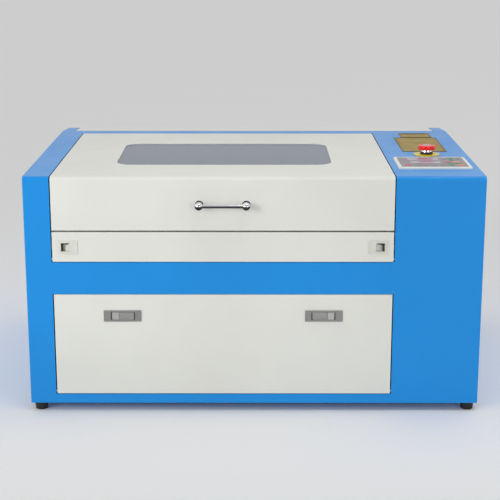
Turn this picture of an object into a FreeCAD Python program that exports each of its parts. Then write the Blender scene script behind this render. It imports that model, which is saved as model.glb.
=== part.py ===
import FreeCAD, Part
import math
import os

os.makedirs("parts", exist_ok=True)

# Desktop laser cutter.  Frame: +X to the operator's right, -Y towards the operator, +Z up,
# origin at the middle of the footprint on the plane that the feet stand on.  Millimetres.

V = FreeCAD.Vector
AX_X = V(1, 0, 0)
AX_Y = V(0, 1, 0)
AX_Z = V(0, 0, 1)

# ---------------------------------------------------------------- driving dimensions
# whole body
BODY_WIDTH = 1000.0
BODY_DEPTH = 752.0
BODY_HEIGHT = 515.5
FOOT_HEIGHT = 19.0
SHEET = 1.5
BEND_R = 9.0
FLAT_DEPTH = 625.0
SLOPE_DEG = 4.7

# front and top openings, measured from the body's middle, its front face and its underside
OPENING_LEFT = -443.0
OPENING_RIGHT = 306.0
DOOR_SIDE_GAP = 2.5
SEAM_GAP = 1.0
DOOR_BOTTOM = 21.0
DOOR_TOP = 253.3
FLAP_BOTTOM = 325.5
FLAP_TOP = 393.0
LID_BOTTOM = 397.0
LID_DEPTH = 588.0
PANEL_RETURN = 12.0

# pivots: each panel turns on a pin at either end of its edge, inside the sheet
PIVOT_IN = 5.0
PIVOT_PIN_R = 2.5
PIVOT_FIT = 0.08
PIVOT_REACH = 9.0
PIVOT_BLOCK = 7.0
PIVOT_BOSS_R = 4.4
PIVOT_BOSS_T = 5.0
EDGE_GAP = 1.5

# window and handle
WINDOW_WIDTH = 489.0
WINDOW_LENGTH = 289.0
WINDOW_R = 37.0
WINDOW_FRONT = 143.0
WINDOW_LAP = 12.0
WINDOW_T = 4.0
HANDLE_PITCH = 102.0
HANDLE_Z = 455.0
HANDLE_PROJECTION = 30.0
HANDLE_BALL_R = 9.0
HANDLE_BAR_R = 4.2
HANDLE_POST_R = 6.0

# lid struts
STRUT_ARM = 102.4
STRUT_STUD_DROP = 7.5
STRUT_PIVOT_IN = 5.0
STRUT_SLOT_HALF = 4.2
STRUT_STUD_R = 3.0
STRUT_PIN_FIT = 0.1
STRUT_EYE_R = 5.8
STRUT_EYE_T = 5.0
STRUT_BARREL_R = 7.5
STRUT_BARREL_END = 88.0
STRUT_ROD_R = 3.0
STRUT_ROD_FIT = 0.08
STRUT_SIDE = 7.0

# flap slide latches
SLIDE_PLATE_W = 44.0
SLIDE_PLATE_H = 31.0
SLIDE_PLATE_T = 1.5
SLIDE_MARGIN = 11.5
SLIDE_Z = 359.3
SLIDE_WINDOW = 20.0
SLIDE_WINDOW_IN = 7.2
SLIDE_DEPTH = 11.0
SLIDE_WALL = 2.0
SLIDE_FIT = 0.35
SLIDE_TRAVEL = 7.0

# door paddle latches
PADDLE_W = 83.0
PADDLE_H = 25.5
PADDLE_Z = 203.5
PADDLE_PITCH = 444.0
PADDLE_PLATE_T = 1.6
PADDLE_DISH = 13.0
PADDLE_OUTER_MARGIN = 16.0
PADDLE_INNER_MARGIN = 14.0
PADDLE_TRIGGER = 15.4
PADDLE_LEVER_H = 17.0
PADDLE_WALL = 2.0
PADDLE_FIT = 0.4

# feet
FOOT_R = 15.0
FOOT_X = 480.0
FOOT_INSET = 20.0

# control deck
ESTOP_X = 405.0
ESTOP_Y = 276.0
ESTOP_DISC_R = 30.0
ESTOP_DISC_T = 2.0
ESTOP_RING_R = 14.5
ESTOP_RING_TOP = 7.5
ESTOP_COLLAR_R = 12.5
ESTOP_COLLAR_TOP = 14.0
ESTOP_HEAD_R = 20.0
ESTOP_HEAD_H = 10.0
ESTOP_PRESS = 4.0
ESTOP_SHAFT_R = 4.0
ESTOP_FIT = 0.1
KEYPAD_LEFT = 320.5
KEYPAD_RIGHT = 484.0
KEYPAD_FRONT = 87.0
KEYPAD_REAR = 221.0
KEYPAD_T = 4.5
KEYPAD_RIM = 7.0
KEYPAD_DEPTH = 18.0
MEMBRANE_T = 1.0
LABEL_T = 0.5

# tube bay
COVER_HALF = 469.0
COVER_FRONT = 642.0
COVER_LIP = 15.0
COVER_GAP = 2.0
COVER_RETURN = 12.0
TUBE_R = 25.0
TUBE_LENGTH = 850.0
TUBE_Y = 696.0
BEAM_Z = 448.0
BEAM_X = -470.0

# chamber
DIVIDER_X = 338.5
DIVIDER_FLANGE = 14.0
BULKHEAD_Y = 600.0
SHELF_Z = 395.0

# motion system
RAIL_W = 12.0
RAIL_H = 10.0
RAIL_LEFT_X = -449.0
RAIL_RIGHT_X = 296.0
RAIL_FRONT = 55.0
RAIL_REAR = 560.0
RAIL_Z = 374.0
RAIL_FLANGE_T = 3.0
RUN_FIT = 0.08
BEAM_W = 40.0
BEAM_H = 20.0
GANTRY_HOME_Y = 490.0
CARRIAGE_HOME_X = 170.0
CARRIAGE_W = 64.0
NOZZLE_TIP_Z = 338.0
BELT_W = 6.0
BELT_T = 1.6
PULLEY_R = 8.0
PULLEY_FLANGE = 2.4
DRIVE_CLEAR = 1.6
BELT_FIT = 0.1
MOTOR_SIZE = 42.0
MOTOR_LENGTH = 40.0
MOTOR_SHAFT_R = 2.5
SHAFT_R = 4.0

# lift table
TABLE_WIDTH = 560.0
TABLE_LENGTH = 420.0
TABLE_X = -80.0
TABLE_Y = 285.0
TABLE_TOP = 328.0
TABLE_FRAME = 25.0
BED_T = 12.0
SCREW_R = 6.0
SCREW_TOP = 345.0

# rear services
FAN_X = -80.0
FAN_Z = 190.0
SPIGOT_R = 50.0
SPIGOT_WALL = 2.0
SPIGOT_LENGTH = 30.0
FAN_SIZE = 120.0
FAN_DEPTH = 38.0
BLADES = 7

# electronics bay
INLET_Y = 690.0
INLET_Z = 90.0

# ---------------------------------------------------------------- derived positions
YF = -BODY_DEPTH / 2.0
YR = BODY_DEPTH / 2.0
XL = -BODY_WIDTH / 2.0
XR = BODY_WIDTH / 2.0
ZB = FOOT_HEIGHT
ZT = ZB + BODY_HEIGHT
SLOPE = math.tan(math.radians(SLOPE_DEG))
SHEET_V = SHEET / math.cos(math.radians(SLOPE_DEG))
ZT_REAR = ZT - (BODY_DEPTH - FLAT_DEPTH) * SLOPE
FRONT_X0 = OPENING_LEFT + DOOR_SIDE_GAP
FRONT_X1 = OPENING_RIGHT - DOOR_SIDE_GAP
FRONT_XC = (FRONT_X0 + FRONT_X1) / 2.0


def yy(back):
    """Y of a point this far back from the front face."""
    return YF + back


def zz(up):
    """Z of a point this far above the body's underside."""
    return ZB + up


def box(x0, x1, y0, y1, z0, z1):
    return Part.makeBox(x1 - x0, y1 - y0, z1 - z0, V(x0, y0, z0))


def cyl(r, length, start, axis):
    return Part.makeCylinder(r, length, start, axis)


def prism(points, sweep):
    wire = Part.makePolygon(points + [points[0]])
    return Part.Face(wire).extrude(sweep)


def fuse(shapes):
    whole = shapes[0]
    for other in shapes[1:]:
        whole = whole.fuse(other)
    return whole.removeSplitter()


def round_edges(shape, radius, test):
    picked = [e for e in shape.Edges if test(e)]
    return shape.makeFillet(radius, picked)


def along(edge, axis):
    """True for a straight edge parallel to this axis."""
    if len(edge.Vertexes) != 2:
        return False
    run = edge.Vertexes[1].Point.sub(edge.Vertexes[0].Point)
    if run.Length < 1e-6:
        return False
    return abs(abs(run.normalize().dot(axis)) - 1.0) < 1e-6


def round_box(x0, x1, y0, y1, z0, z1, r, axis):
    """Block whose edges along one axis are rounded."""
    block = box(x0, x1, y0, y1, z0, z1)
    return round_edges(block, r, lambda e: along(e, axis))


def mirror_x(shape, xc):
    return shape.mirror(V(xc, 0, 0), AX_X)


def save(shape, name):
    shape.exportStep("parts/" + name + ".step")


def bent_corner(x0, x1, y0, y1, z0, z1, thick, r):
    """Sheet bent once over the front top corner: a front wall and a top wall."""
    outer = box(x0, x1, y0, y1, z0, z1)
    outer = round_edges(
        outer,
        r,
        lambda e: along(e, AX_X)
        and abs(e.Vertexes[0].Y - y0) < 1e-6
        and abs(e.Vertexes[0].Z - z1) < 1e-6,
    )
    inner = box(x0 - 1, x1 + 1, y0 + thick, y1 + 1, z0 - 1, z1 - thick)
    if r > thick:
        inner = round_edges(
            inner,
            r - thick,
            lambda e: along(e, AX_X)
            and abs(e.Vertexes[0].Y - y0 - thick) < 1e-6
            and abs(e.Vertexes[0].Z - z1 + thick) < 1e-6,
        )
    return outer.cut(inner)


def plate_yz(x0, x1, points):
    return prism([V(x0, y, z) for y, z in points], V(x1 - x0, 0, 0))


# ---------------------------------------------------------------- pivots
UP_SLOPE = (math.cos(math.radians(SLOPE_DEG)), -math.sin(math.radians(SLOPE_DEG)))
IN_SLOPE = (-math.sin(math.radians(SLOPE_DEG)), -math.cos(math.radians(SLOPE_DEG)))

LID_AXIS_Y = yy(LID_DEPTH) - PIVOT_IN
LID_AXIS_Z = ZT - PIVOT_IN
CROSSBAR_FRONT = yy(LID_DEPTH) + EDGE_GAP
FLAP_Z0 = zz(FLAP_BOTTOM) + EDGE_GAP
FLAP_AXIS_Y = YF + PIVOT_IN
FLAP_AXIS_Z = FLAP_Z0 + PIVOT_IN
DOOR_Z0 = zz(DOOR_BOTTOM) + EDGE_GAP
DOOR_AXIS_Y = YF + PIVOT_IN
DOOR_AXIS_Z = DOOR_Z0 + PIVOT_IN
COVER_Y0 = yy(COVER_FRONT)
COVER_Z0 = ZT - (COVER_FRONT - FLAT_DEPTH) * SLOPE
COVER_AXIS_Y = COVER_Y0 + PIVOT_IN * (UP_SLOPE[0] + IN_SLOPE[0])
COVER_AXIS_Z = COVER_Z0 + PIVOT_IN * (UP_SLOPE[1] + IN_SLOPE[1])


def pivot_pins(x0, x1, ay, az):
    """Pins that stand out of a panel's two ends, each with a boss inside the side return."""
    pins = []
    for x, s in ((x0, -1), (x1, 1)):
        a = min(x - s * SHEET, x + s * PIVOT_REACH)
        pins.append(cyl(PIVOT_PIN_R, PIVOT_REACH + SHEET, V(a, ay, az), AX_X))
        b = min(x, x - s * (SHEET + PIVOT_BOSS_T))
        pins.append(cyl(PIVOT_BOSS_R, SHEET + PIVOT_BOSS_T, V(b, ay, az), AX_X))
    return pins


def pivot_blocks(x0, x1, gap, ay, az, profile):
    """Bearing blocks for those pins, fixed behind the sheet beside the panel."""
    blocks = []
    bore = cyl(PIVOT_PIN_R + PIVOT_FIT, x1 - x0 + 60, V(x0 - 30, ay, az), AX_X)
    for x, s in ((x0, -1), (x1, 1)):
        a = x + s * (gap + 0.5)
        b = x + s * (PIVOT_REACH + 2.0)
        blocks.append(plate_yz(min(a, b), max(a, b), profile).cut(bore))
    return blocks


def under_slope(y):
    return ZT - (y - yy(FLAT_DEPTH)) * SLOPE - SHEET_V


front_back = YF + 2 * PIVOT_BLOCK
blocks = []
for az in (FLAP_AXIS_Z, DOOR_AXIS_Z):
    rim = [
        (YF + SHEET, az - PIVOT_BLOCK),
        (front_back, az - PIVOT_BLOCK),
        (front_back, az + PIVOT_BLOCK),
        (YF + SHEET, az + PIVOT_BLOCK),
    ]
    blocks = blocks + pivot_blocks(FRONT_X0, FRONT_X1, DOOR_SIDE_GAP, YF + PIVOT_IN, az, rim)
lid_rim = [
    (LID_AXIS_Y - PIVOT_BLOCK, ZT - SHEET),
    (LID_AXIS_Y - PIVOT_BLOCK, ZT - 2 * PIVOT_BLOCK),
    (LID_AXIS_Y + PIVOT_BLOCK, ZT - 2 * PIVOT_BLOCK),
    (LID_AXIS_Y + PIVOT_BLOCK, ZT - SHEET),
]
blocks = blocks + pivot_blocks(
    FRONT_X0, FRONT_X1, DOOR_SIDE_GAP, LID_AXIS_Y, LID_AXIS_Z, lid_rim
)
cover_a = COVER_AXIS_Y - PIVOT_BLOCK
cover_b = COVER_AXIS_Y + PIVOT_BLOCK
cover_rim = [
    (cover_a, under_slope(cover_a)),
    (cover_a, COVER_AXIS_Z - PIVOT_BLOCK - 2),
    (cover_b, COVER_AXIS_Z - PIVOT_BLOCK - 2),
    (cover_b, under_slope(cover_b)),
]
blocks = blocks + pivot_blocks(
    -COVER_HALF, COVER_HALF, COVER_GAP, COVER_AXIS_Y, COVER_AXIS_Z, cover_rim
)
save(Part.makeCompound(blocks), "pivot_blocks")

# ---------------------------------------------------------------- front and top sheet
shell = bent_corner(XL, XR, YF, yy(FLAT_DEPTH), ZB, ZT, SHEET, BEND_R)
slope_plate = plate_yz(
    XL,
    XR,
    [
        (yy(FLAT_DEPTH), ZT),
        (YR, ZT_REAR),
        (YR, ZT_REAR - SHEET_V),
        (yy(FLAT_DEPTH), ZT - SHEET_V),
    ],
)
shell = shell.fuse(slope_plate)
shell = shell.cut(box(OPENING_LEFT, OPENING_RIGHT, YF - 1, YF + 30, zz(DOOR_BOTTOM), zz(DOOR_TOP)))
lid_hole = box(OPENING_LEFT, OPENING_RIGHT, YF - 1, CROSSBAR_FRONT, zz(FLAP_BOTTOM), ZT + 1)
shell = shell.cut(lid_hole)
hatch_hole = box(
    -COVER_HALF - COVER_GAP,
    COVER_HALF + COVER_GAP,
    COVER_Y0 - EDGE_GAP,
    YR + 1,
    ZT_REAR - 30,
    ZT + 1,
)
shell = shell.cut(hatch_hole)
# stiffening return along the lower edge of the bar between door and flap
bar_low = box(OPENING_LEFT, OPENING_RIGHT, YF + SHEET, YF + PANEL_RETURN, 0, SHEET)
shell = shell.fuse(bar_low.translated(V(0, 0, zz(DOOR_TOP))))
# openings for the emergency stop and the control panel
shell = shell.cut(cyl(11.2, 20, V(ESTOP_X, yy(ESTOP_Y), ZT - 10), AX_Z))
PANEL_CUT = 12.0
shell = shell.cut(
    box(
        KEYPAD_LEFT + PANEL_CUT,
        KEYPAD_RIGHT - PANEL_CUT,
        yy(KEYPAD_FRONT + PANEL_CUT),
        yy(KEYPAD_REAR - PANEL_CUT),
        ZT - 5,
        ZT + 5,
    )
)
save(shell.removeSplitter(), "front_top_shell")

# ---------------------------------------------------------------- tub: base and both side walls
side_profile_r = BEND_R - SHEET


def side_wall(x0):
    wall = plate_yz(
        x0,
        x0 + SHEET,
        [
            (YF + SHEET, ZB),
            (YF + SHEET, ZT - SHEET),
            (yy(FLAT_DEPTH), ZT - SHEET_V),
            (YR, ZT_REAR - SHEET_V),
            (YR, ZB),
        ],
    )
    return round_edges(
        wall,
        side_profile_r,
        lambda e: along(e, AX_X)
        and abs(e.Vertexes[0].Y - YF - SHEET) < 1e-6
        and e.Vertexes[0].Z > ZT - 20,
    )


tub = box(XL, XR, YF + SHEET, YR, ZB, ZB + SHEET)
left_wall = side_wall(XL)
right_wall = side_wall(XR - SHEET)
LOUVRES = 9
LOUVRE_PITCH = 12.0
for i in range(LOUVRES):
    z0 = zz(300.0) + i * LOUVRE_PITCH
    slot = round_box(XR - 5, XR + 5, yy(480.0), yy(600.0), z0, z0 + 4.5, 2.2, AX_X)
    right_wall = right_wall.cut(slot)
INLET_W = 28.0
right_wall = right_wall.cut(
    box(XR - 5, XR + 5, yy(INLET_Y) - 21, yy(INLET_Y) + 21, zz(INLET_Z) - 51, zz(INLET_Z) + 51)
)
save(tub.fuse(left_wall).fuse(right_wall).removeSplitter(), "body_tub")

# ---------------------------------------------------------------- rear panel
REAR_TOP = ZT_REAR - SHEET_V
rear = plate_yz(
    XL + SHEET,
    XR - SHEET,
    [
        (YR - SHEET, ZB + SHEET),
        (YR - SHEET, REAR_TOP + SHEET * SLOPE),
        (YR, REAR_TOP),
        (YR, ZB + SHEET),
    ],
)
rear = rear.cut(
    box(
        -COVER_HALF - COVER_GAP,
        COVER_HALF + COVER_GAP,
        YR - 5,
        YR + 5,
        ZT_REAR - COVER_LIP - 1.5,
        ZT + 5,
    )
)
rear = rear.cut(cyl(SPIGOT_R + 1.5, 20, V(FAN_X, YR - 10, zz(FAN_Z)), AX_Y))
FITTING_PITCH = 40.0
FITTING_X = 120.0
FITTING_Z = 330.0
for i in range(3):
    rear = rear.cut(cyl(6.0, 20, V(FITTING_X + i * FITTING_PITCH, YR - 10, zz(FITTING_Z)), AX_Y))
for i in range(8):
    x0 = 385.0
    z0 = zz(300.0) + i * LOUVRE_PITCH
    rear = rear.cut(round_box(x0, x0 + 90.0, YR - 5, YR + 5, z0, z0 + 4.5, 2.2, AX_Y))
save(rear.removeSplitter(), "rear_panel")

# ---------------------------------------------------------------- inner walls
divider = box(
    DIVIDER_X, DIVIDER_X + SHEET, YF + SHEET + 8, yy(BULKHEAD_Y), ZB + SHEET, ZT - SHEET - 8
)
divider = divider.fuse(
    box(
        DIVIDER_X,
        DIVIDER_X + DIVIDER_FLANGE,
        YF + SHEET + 8,
        yy(BULKHEAD_Y),
        ZB + SHEET,
        ZB + 2 * SHEET,
    )
)
divider = divider.fuse(
    box(
        DIVIDER_X,
        DIVIDER_X + DIVIDER_FLANGE,
        YF + SHEET + 8,
        yy(BULKHEAD_Y),
        ZT - SHEET - 8 - SHEET,
        ZT - SHEET - 8,
    )
)
# room for the back of the control panel
divider = divider.cut(
    box(
        DIVIDER_X - 5,
        DIVIDER_X + 30,
        yy(KEYPAD_FRONT + PANEL_CUT) - 2,
        yy(KEYPAD_REAR - PANEL_CUT) + 2,
        ZT - KEYPAD_DEPTH - 3,
        ZT,
    )
)
save(divider.removeSplitter(), "chamber_divider")

BULK_X0 = XL + SHEET + 0.5
BULK_X1 = XR - SHEET - 0.5
bulkhead = box(
    BULK_X0, BULK_X1, yy(BULKHEAD_Y), yy(BULKHEAD_Y) + SHEET, ZB + SHEET, ZT - SHEET
)
bulkhead = bulkhead.fuse(
    box(
        BULK_X0,
        BULK_X1,
        yy(BULKHEAD_Y),
        YR - SHEET,
        zz(SHELF_Z),
        zz(SHELF_Z) + SHEET,
    )
)
bulkhead = bulkhead.cut(cyl(12.0, 20, V(BEAM_X, yy(BULKHEAD_Y) - 10, zz(BEAM_Z)), AX_Y))
DUCT_W = 420.0
DUCT_H = 90.0
bulkhead = bulkhead.cut(
    round_box(
        FAN_X - DUCT_W / 2,
        FAN_X + DUCT_W / 2,
        yy(BULKHEAD_Y) - 5,
        yy(BULKHEAD_Y) + 5,
        zz(FAN_Z) - DUCT_H / 2,
        zz(FAN_Z) + DUCT_H / 2,
        10.0,
        AX_Y,
    )
)
# ears that carry the lower strut pivots
PIVOT_Y = LID_AXIS_Y - STRUT_PIVOT_IN
PIVOT_Z = LID_AXIS_Z - math.sqrt(STRUT_ARM ** 2 - STRUT_PIVOT_IN ** 2)
STUD_Z = LID_AXIS_Z - STRUT_STUD_DROP
STUD_Y = LID_AXIS_Y - math.sqrt(STRUT_ARM ** 2 - STRUT_STUD_DROP ** 2)
EAR_T = 3.0
EAR_X = FRONT_X0 + SHEET
for side in (0, 1):
    x0 = EAR_X - EAR_T
    ear = plate_yz(
        x0,
        x0 + EAR_T,
        [
            (yy(BULKHEAD_Y), PIVOT_Z - 14),
            (yy(BULKHEAD_Y), PIVOT_Z + 14),
            (PIVOT_Y - 8, PIVOT_Z + 8),
            (PIVOT_Y - 8, PIVOT_Z - 8),
        ],
    )
    pin = cyl(STRUT_STUD_R, STRUT_SIDE + STRUT_EYE_T, V(x0 + EAR_T - 0.5, PIVOT_Y, PIVOT_Z), AX_X)
    pair = ear.fuse(pin)
    if side:
        pair = mirror_x(pair, FRONT_XC)
    bulkhead = bulkhead.fuse(pair)
save(bulkhead.removeSplitter(), "rear_bulkhead")

# ---------------------------------------------------------------- feet
feet = []
for sx in (-1, 1):
    for y in (yy(FOOT_INSET), YR - FOOT_INSET):
        foot = Part.makeCone(FOOT_R - 1.5, FOOT_R, FOOT_HEIGHT, V(sx * FOOT_X, y, 0), AX_Z)
        foot = round_edges(
            foot, 2.5, lambda e: len(e.Vertexes) == 1 and abs(e.Vertexes[0].Z) < 1e-6
        )
        feet.append(foot)
save(Part.makeCompound(feet), "feet")

# ---------------------------------------------------------------- lid
LID_Y1 = yy(LID_DEPTH)
lid = bent_corner(FRONT_X0, FRONT_X1, YF, LID_Y1, zz(LID_BOTTOM), ZT, SHEET, BEND_R)
for x0 in (FRONT_X0, FRONT_X1 - SHEET):
    lid = lid.fuse(
        bent_corner(x0, x0 + SHEET, YF, LID_Y1, zz(LID_BOTTOM), ZT, PANEL_RETURN, BEND_R)
    )
lid = lid.fuse(
    box(FRONT_X0, FRONT_X1, YF, YF + PANEL_RETURN, zz(LID_BOTTOM), zz(LID_BOTTOM) + SHEET)
)
WIN_X0 = FRONT_XC - WINDOW_WIDTH / 2.0
WIN_X1 = FRONT_XC + WINDOW_WIDTH / 2.0
WIN_Y0 = yy(WINDOW_FRONT)
WIN_Y1 = WIN_Y0 + WINDOW_LENGTH
lid = lid.cut(round_box(WIN_X0, WIN_X1, WIN_Y0, WIN_Y1, ZT - 10, ZT + 10, WINDOW_R, AX_Z))
for pin in pivot_pins(FRONT_X0, FRONT_X1, LID_AXIS_Y, LID_AXIS_Z):
    lid = lid.fuse(pin)
# studs for the struts, on tabs below the side returns
for side in (0, 1):
    tab = plate_yz(
        FRONT_X0,
        FRONT_X0 + SHEET,
        [
            (STUD_Y - 12, ZT - PANEL_RETURN - 4),
            (STUD_Y + 12, ZT - PANEL_RETURN - 4),
            (STUD_Y + 14, ZT - 5),
            (STUD_Y - 14, ZT - 5),
        ],
    )
    stud = cyl(STRUT_STUD_R, STRUT_SIDE + STRUT_EYE_T, V(FRONT_X0 + 0.5, STUD_Y, STUD_Z), AX_X)
    piece = tab.fuse(stud)
    if side:
        piece = mirror_x(piece, FRONT_XC)
    lid = lid.fuse(piece)
lid = lid.removeSplitter()
# holes for the handle screws
HANDLE_Y = YF - (HANDLE_PROJECTION - HANDLE_BALL_R)
HANDLE_SCREW_R = 2.0
for sx in (-1, 1):
    lid = lid.cut(
        cyl(HANDLE_SCREW_R, 10, V(FRONT_XC + sx * HANDLE_PITCH / 2, YF - 5, zz(HANDLE_Z)), AX_Y)
    )
save(lid, "lid_shell")

window = round_box(
    WIN_X0 - WINDOW_LAP,
    WIN_X1 + WINDOW_LAP,
    WIN_Y0 - WINDOW_LAP,
    WIN_Y1 + WINDOW_LAP,
    ZT - SHEET - WINDOW_T,
    ZT - SHEET,
    WINDOW_R,
    AX_Z,
)
save(window, "lid_window")

handle_parts = []
for sx in (-1, 1):
    x = FRONT_XC + sx * HANDLE_PITCH / 2
    handle_parts.append(cyl(HANDLE_POST_R, YF - HANDLE_Y, V(x, HANDLE_Y, zz(HANDLE_Z)), AX_Y))
    handle_parts.append(cyl(HANDLE_BALL_R, 2.5, V(x, YF - 2.5, zz(HANDLE_Z)), AX_Y))
    handle_parts.append(Part.makeSphere(HANDLE_BALL_R, V(x, HANDLE_Y, zz(HANDLE_Z))))
    handle_parts.append(cyl(HANDLE_SCREW_R - 0.1, 6.0, V(x, YF - 1, zz(HANDLE_Z)), AX_Y))
bar = cyl(
    HANDLE_BAR_R,
    HANDLE_PITCH,
    V(FRONT_XC - HANDLE_PITCH / 2, HANDLE_Y, zz(HANDLE_Z)),
    AX_X,
)
save(fuse(handle_parts + [bar]), "lid_handle")

# ---------------------------------------------------------------- lid struts, closed
strut_dy = STUD_Y - PIVOT_Y
strut_dz = STUD_Z - PIVOT_Z
STRUT_CLOSED = math.hypot(strut_dy, strut_dz)
strut_angle = math.degrees(math.atan2(strut_dz, strut_dy))
STRUT_X = EAR_X + STRUT_SIDE - STRUT_EYE_T / 2 + 2.0


def along_strut(shape):
    """Takes a shape drawn along +Y from the origin to the left strut's pivot and direction."""
    shape = shape.copy()
    shape.rotate(V(0, 0, 0), AX_X, strut_angle)
    shape.translate(V(STRUT_X, PIVOT_Y, PIVOT_Z))
    return shape


half_t = STRUT_EYE_T / 2.0
eye = cyl(STRUT_EYE_R, STRUT_EYE_T, V(-half_t, 0, 0), AX_X)
neck = box(-half_t, half_t, 0, 14, -4.0, 4.0)
barrel = cyl(STRUT_BARREL_R, STRUT_BARREL_END - 12, V(0, 12, 0), AX_Y)
cylinder = fuse([eye, neck, barrel])
cylinder = cylinder.cut(cyl(STRUT_STUD_R + STRUT_PIN_FIT, 20, V(-10, 0, 0), AX_X))
cylinder = cylinder.cut(
    cyl(STRUT_ROD_R + STRUT_ROD_FIT, STRUT_BARREL_END, V(0, 16, 0), AX_Y)
)
ROD_START = 20.0
slot_r = STRUT_STUD_R + STRUT_PIN_FIT
rod = cyl(STRUT_ROD_R, STRUT_CLOSED - ROD_START - 8, V(0, ROD_START, 0), AX_Y)
eye_block = box(
    -half_t,
    half_t,
    STRUT_CLOSED - STRUT_SLOT_HALF,
    STRUT_CLOSED + STRUT_SLOT_HALF,
    -STRUT_EYE_R,
    STRUT_EYE_R,
)
rod_parts = [rod, eye_block]
slot_parts = [
    box(
        -10,
        10,
        STRUT_CLOSED - STRUT_SLOT_HALF,
        STRUT_CLOSED + STRUT_SLOT_HALF,
        -slot_r,
        slot_r,
    )
]
for s in (-1, 1):
    centre = V(-half_t, STRUT_CLOSED + s * STRUT_SLOT_HALF, 0)
    rod_parts.append(cyl(STRUT_EYE_R, STRUT_EYE_T, centre, AX_X))
    slot_parts.append(cyl(slot_r, 20, V(-10, centre.y, 0), AX_X))
rod_whole = fuse(rod_parts).cut(fuse(slot_parts))
for shape, name in ((cylinder, "strut_cylinder"), (rod_whole, "strut_rod")):
    placed = along_strut(shape)
    save(placed, name + "_left")
    save(mirror_x(placed, FRONT_XC), name + "_right")

# ---------------------------------------------------------------- flap
FLAP_Z1 = zz(FLAP_TOP)
flap = box(FRONT_X0, FRONT_X1, YF, YF + SHEET, FLAP_Z0, FLAP_Z1)
flap = flap.fuse(box(FRONT_X0, FRONT_X1, YF, YF + PANEL_RETURN, FLAP_Z1 - SHEET, FLAP_Z1))
for x0 in (FRONT_X0, FRONT_X1 - SHEET):
    flap = flap.fuse(box(x0, x0 + SHEET, YF, YF + PANEL_RETURN, FLAP_Z0, FLAP_Z1))
for pin in pivot_pins(FRONT_X0, FRONT_X1, FLAP_AXIS_Y, FLAP_AXIS_Z):
    flap = flap.fuse(pin)
SLIDE_X0 = FRONT_X0 + SLIDE_MARGIN
SLIDE_X1 = SLIDE_X0 + SLIDE_PLATE_W
SLIDE_ZC = zz(SLIDE_Z)
SLIDE_EDGE = 3.5
BOX_X0 = SLIDE_X0 + SLIDE_EDGE
BOX_X1 = SLIDE_X1 - SLIDE_EDGE
BOX_Z0 = SLIDE_ZC - SLIDE_PLATE_H / 2 + SLIDE_EDGE
BOX_Z1 = SLIDE_ZC + SLIDE_PLATE_H / 2 - SLIDE_EDGE
slide_cut = box(BOX_X0 - 0.3, BOX_X1 + 0.3, YF - 1, YF + 5, BOX_Z0 - 0.3, BOX_Z1 + 0.3)
BOLT_H = 8.0
bolt_slot = box(
    FRONT_X0 - 1,
    FRONT_X0 + SHEET + 1,
    YF + SHEET + 0.2,
    YF + PANEL_RETURN - 2,
    SLIDE_ZC - BOLT_H / 2 - 0.6,
    SLIDE_ZC + BOLT_H / 2 + 0.6,
)
for cut_shape in (slide_cut, bolt_slot):
    flap = flap.cut(cut_shape)
    flap = flap.cut(mirror_x(cut_shape, FRONT_XC))
save(flap.removeSplitter(), "flap_panel")

housing = round_box(
    SLIDE_X0,
    SLIDE_X1,
    YF - SLIDE_PLATE_T,
    YF,
    SLIDE_ZC - SLIDE_PLATE_H / 2,
    SLIDE_ZC + SLIDE_PLATE_H / 2,
    3.0,
    AX_Y,
)
housing = housing.fuse(box(BOX_X0, BOX_X1, YF, YF + SLIDE_DEPTH, BOX_Z0, BOX_Z1))
WINDOW_X0 = SLIDE_X0 + SLIDE_WINDOW_IN
pocket = box(
    BOX_X0 - 1,
    BOX_X1 - SLIDE_WALL,
    YF,
    YF + SLIDE_DEPTH - SLIDE_WALL,
    BOX_Z0 + SLIDE_WALL,
    BOX_Z1 - SLIDE_WALL,
)
housing = housing.cut(pocket)
housing = housing.cut(
    box(
        WINDOW_X0,
        WINDOW_X0 + SLIDE_WINDOW,
        YF - 5,
        YF + 1,
        SLIDE_ZC - SLIDE_WINDOW / 2,
        SLIDE_ZC + SLIDE_WINDOW / 2,
    )
)
save(Part.makeCompound([housing, mirror_x(housing, FRONT_XC)]), "flap_latch_housings")

SLIDER_LENGTH = BOX_X1 - SLIDE_WALL - BOX_X0 - SLIDE_TRAVEL - 1.0
slider = box(
    BOX_X0,
    BOX_X0 + SLIDER_LENGTH,
    YF + SLIDE_FIT,
    YF + SLIDE_DEPTH - SLIDE_WALL - SLIDE_FIT,
    BOX_Z0 + SLIDE_WALL + SLIDE_FIT,
    BOX_Z1 - SLIDE_WALL - SLIDE_FIT,
)
SCOOP_DEEP = 6.8
scoop_x0 = WINDOW_X0 + 0.8
scoop_x1 = BOX_X0 + SLIDER_LENGTH - 1.2
scoop = prism(
    [
        V(scoop_x0, YF - 1, SLIDE_ZC - SLIDE_WINDOW / 2 + 1),
        V(scoop_x0, YF + SCOOP_DEEP, SLIDE_ZC - SLIDE_WINDOW / 2 + 1),
        V(scoop_x0 + 4.5, YF + SCOOP_DEEP, SLIDE_ZC - SLIDE_WINDOW / 2 + 1),
        V(scoop_x1, YF + SLIDE_FIT + 0.6, SLIDE_ZC - SLIDE_WINDOW / 2 + 1),
        V(scoop_x1, YF - 1, SLIDE_ZC - SLIDE_WINDOW / 2 + 1),
    ],
    V(0, 0, SLIDE_WINDOW - 2),
)
slider = slider.cut(scoop)
BOLT_OUT = 1.0
slider = slider.fuse(
    box(
        FRONT_X0 - BOLT_OUT,
        BOX_X0 + 1,
        YF + SHEET + 0.8,
        YF + SLIDE_DEPTH - SLIDE_WALL - SLIDE_FIT - 1,
        SLIDE_ZC - BOLT_H / 2,
        SLIDE_ZC + BOLT_H / 2,
    )
)
save(slider.removeSplitter(), "flap_slider_left")
save(mirror_x(slider, FRONT_XC), "flap_slider_right")

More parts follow.
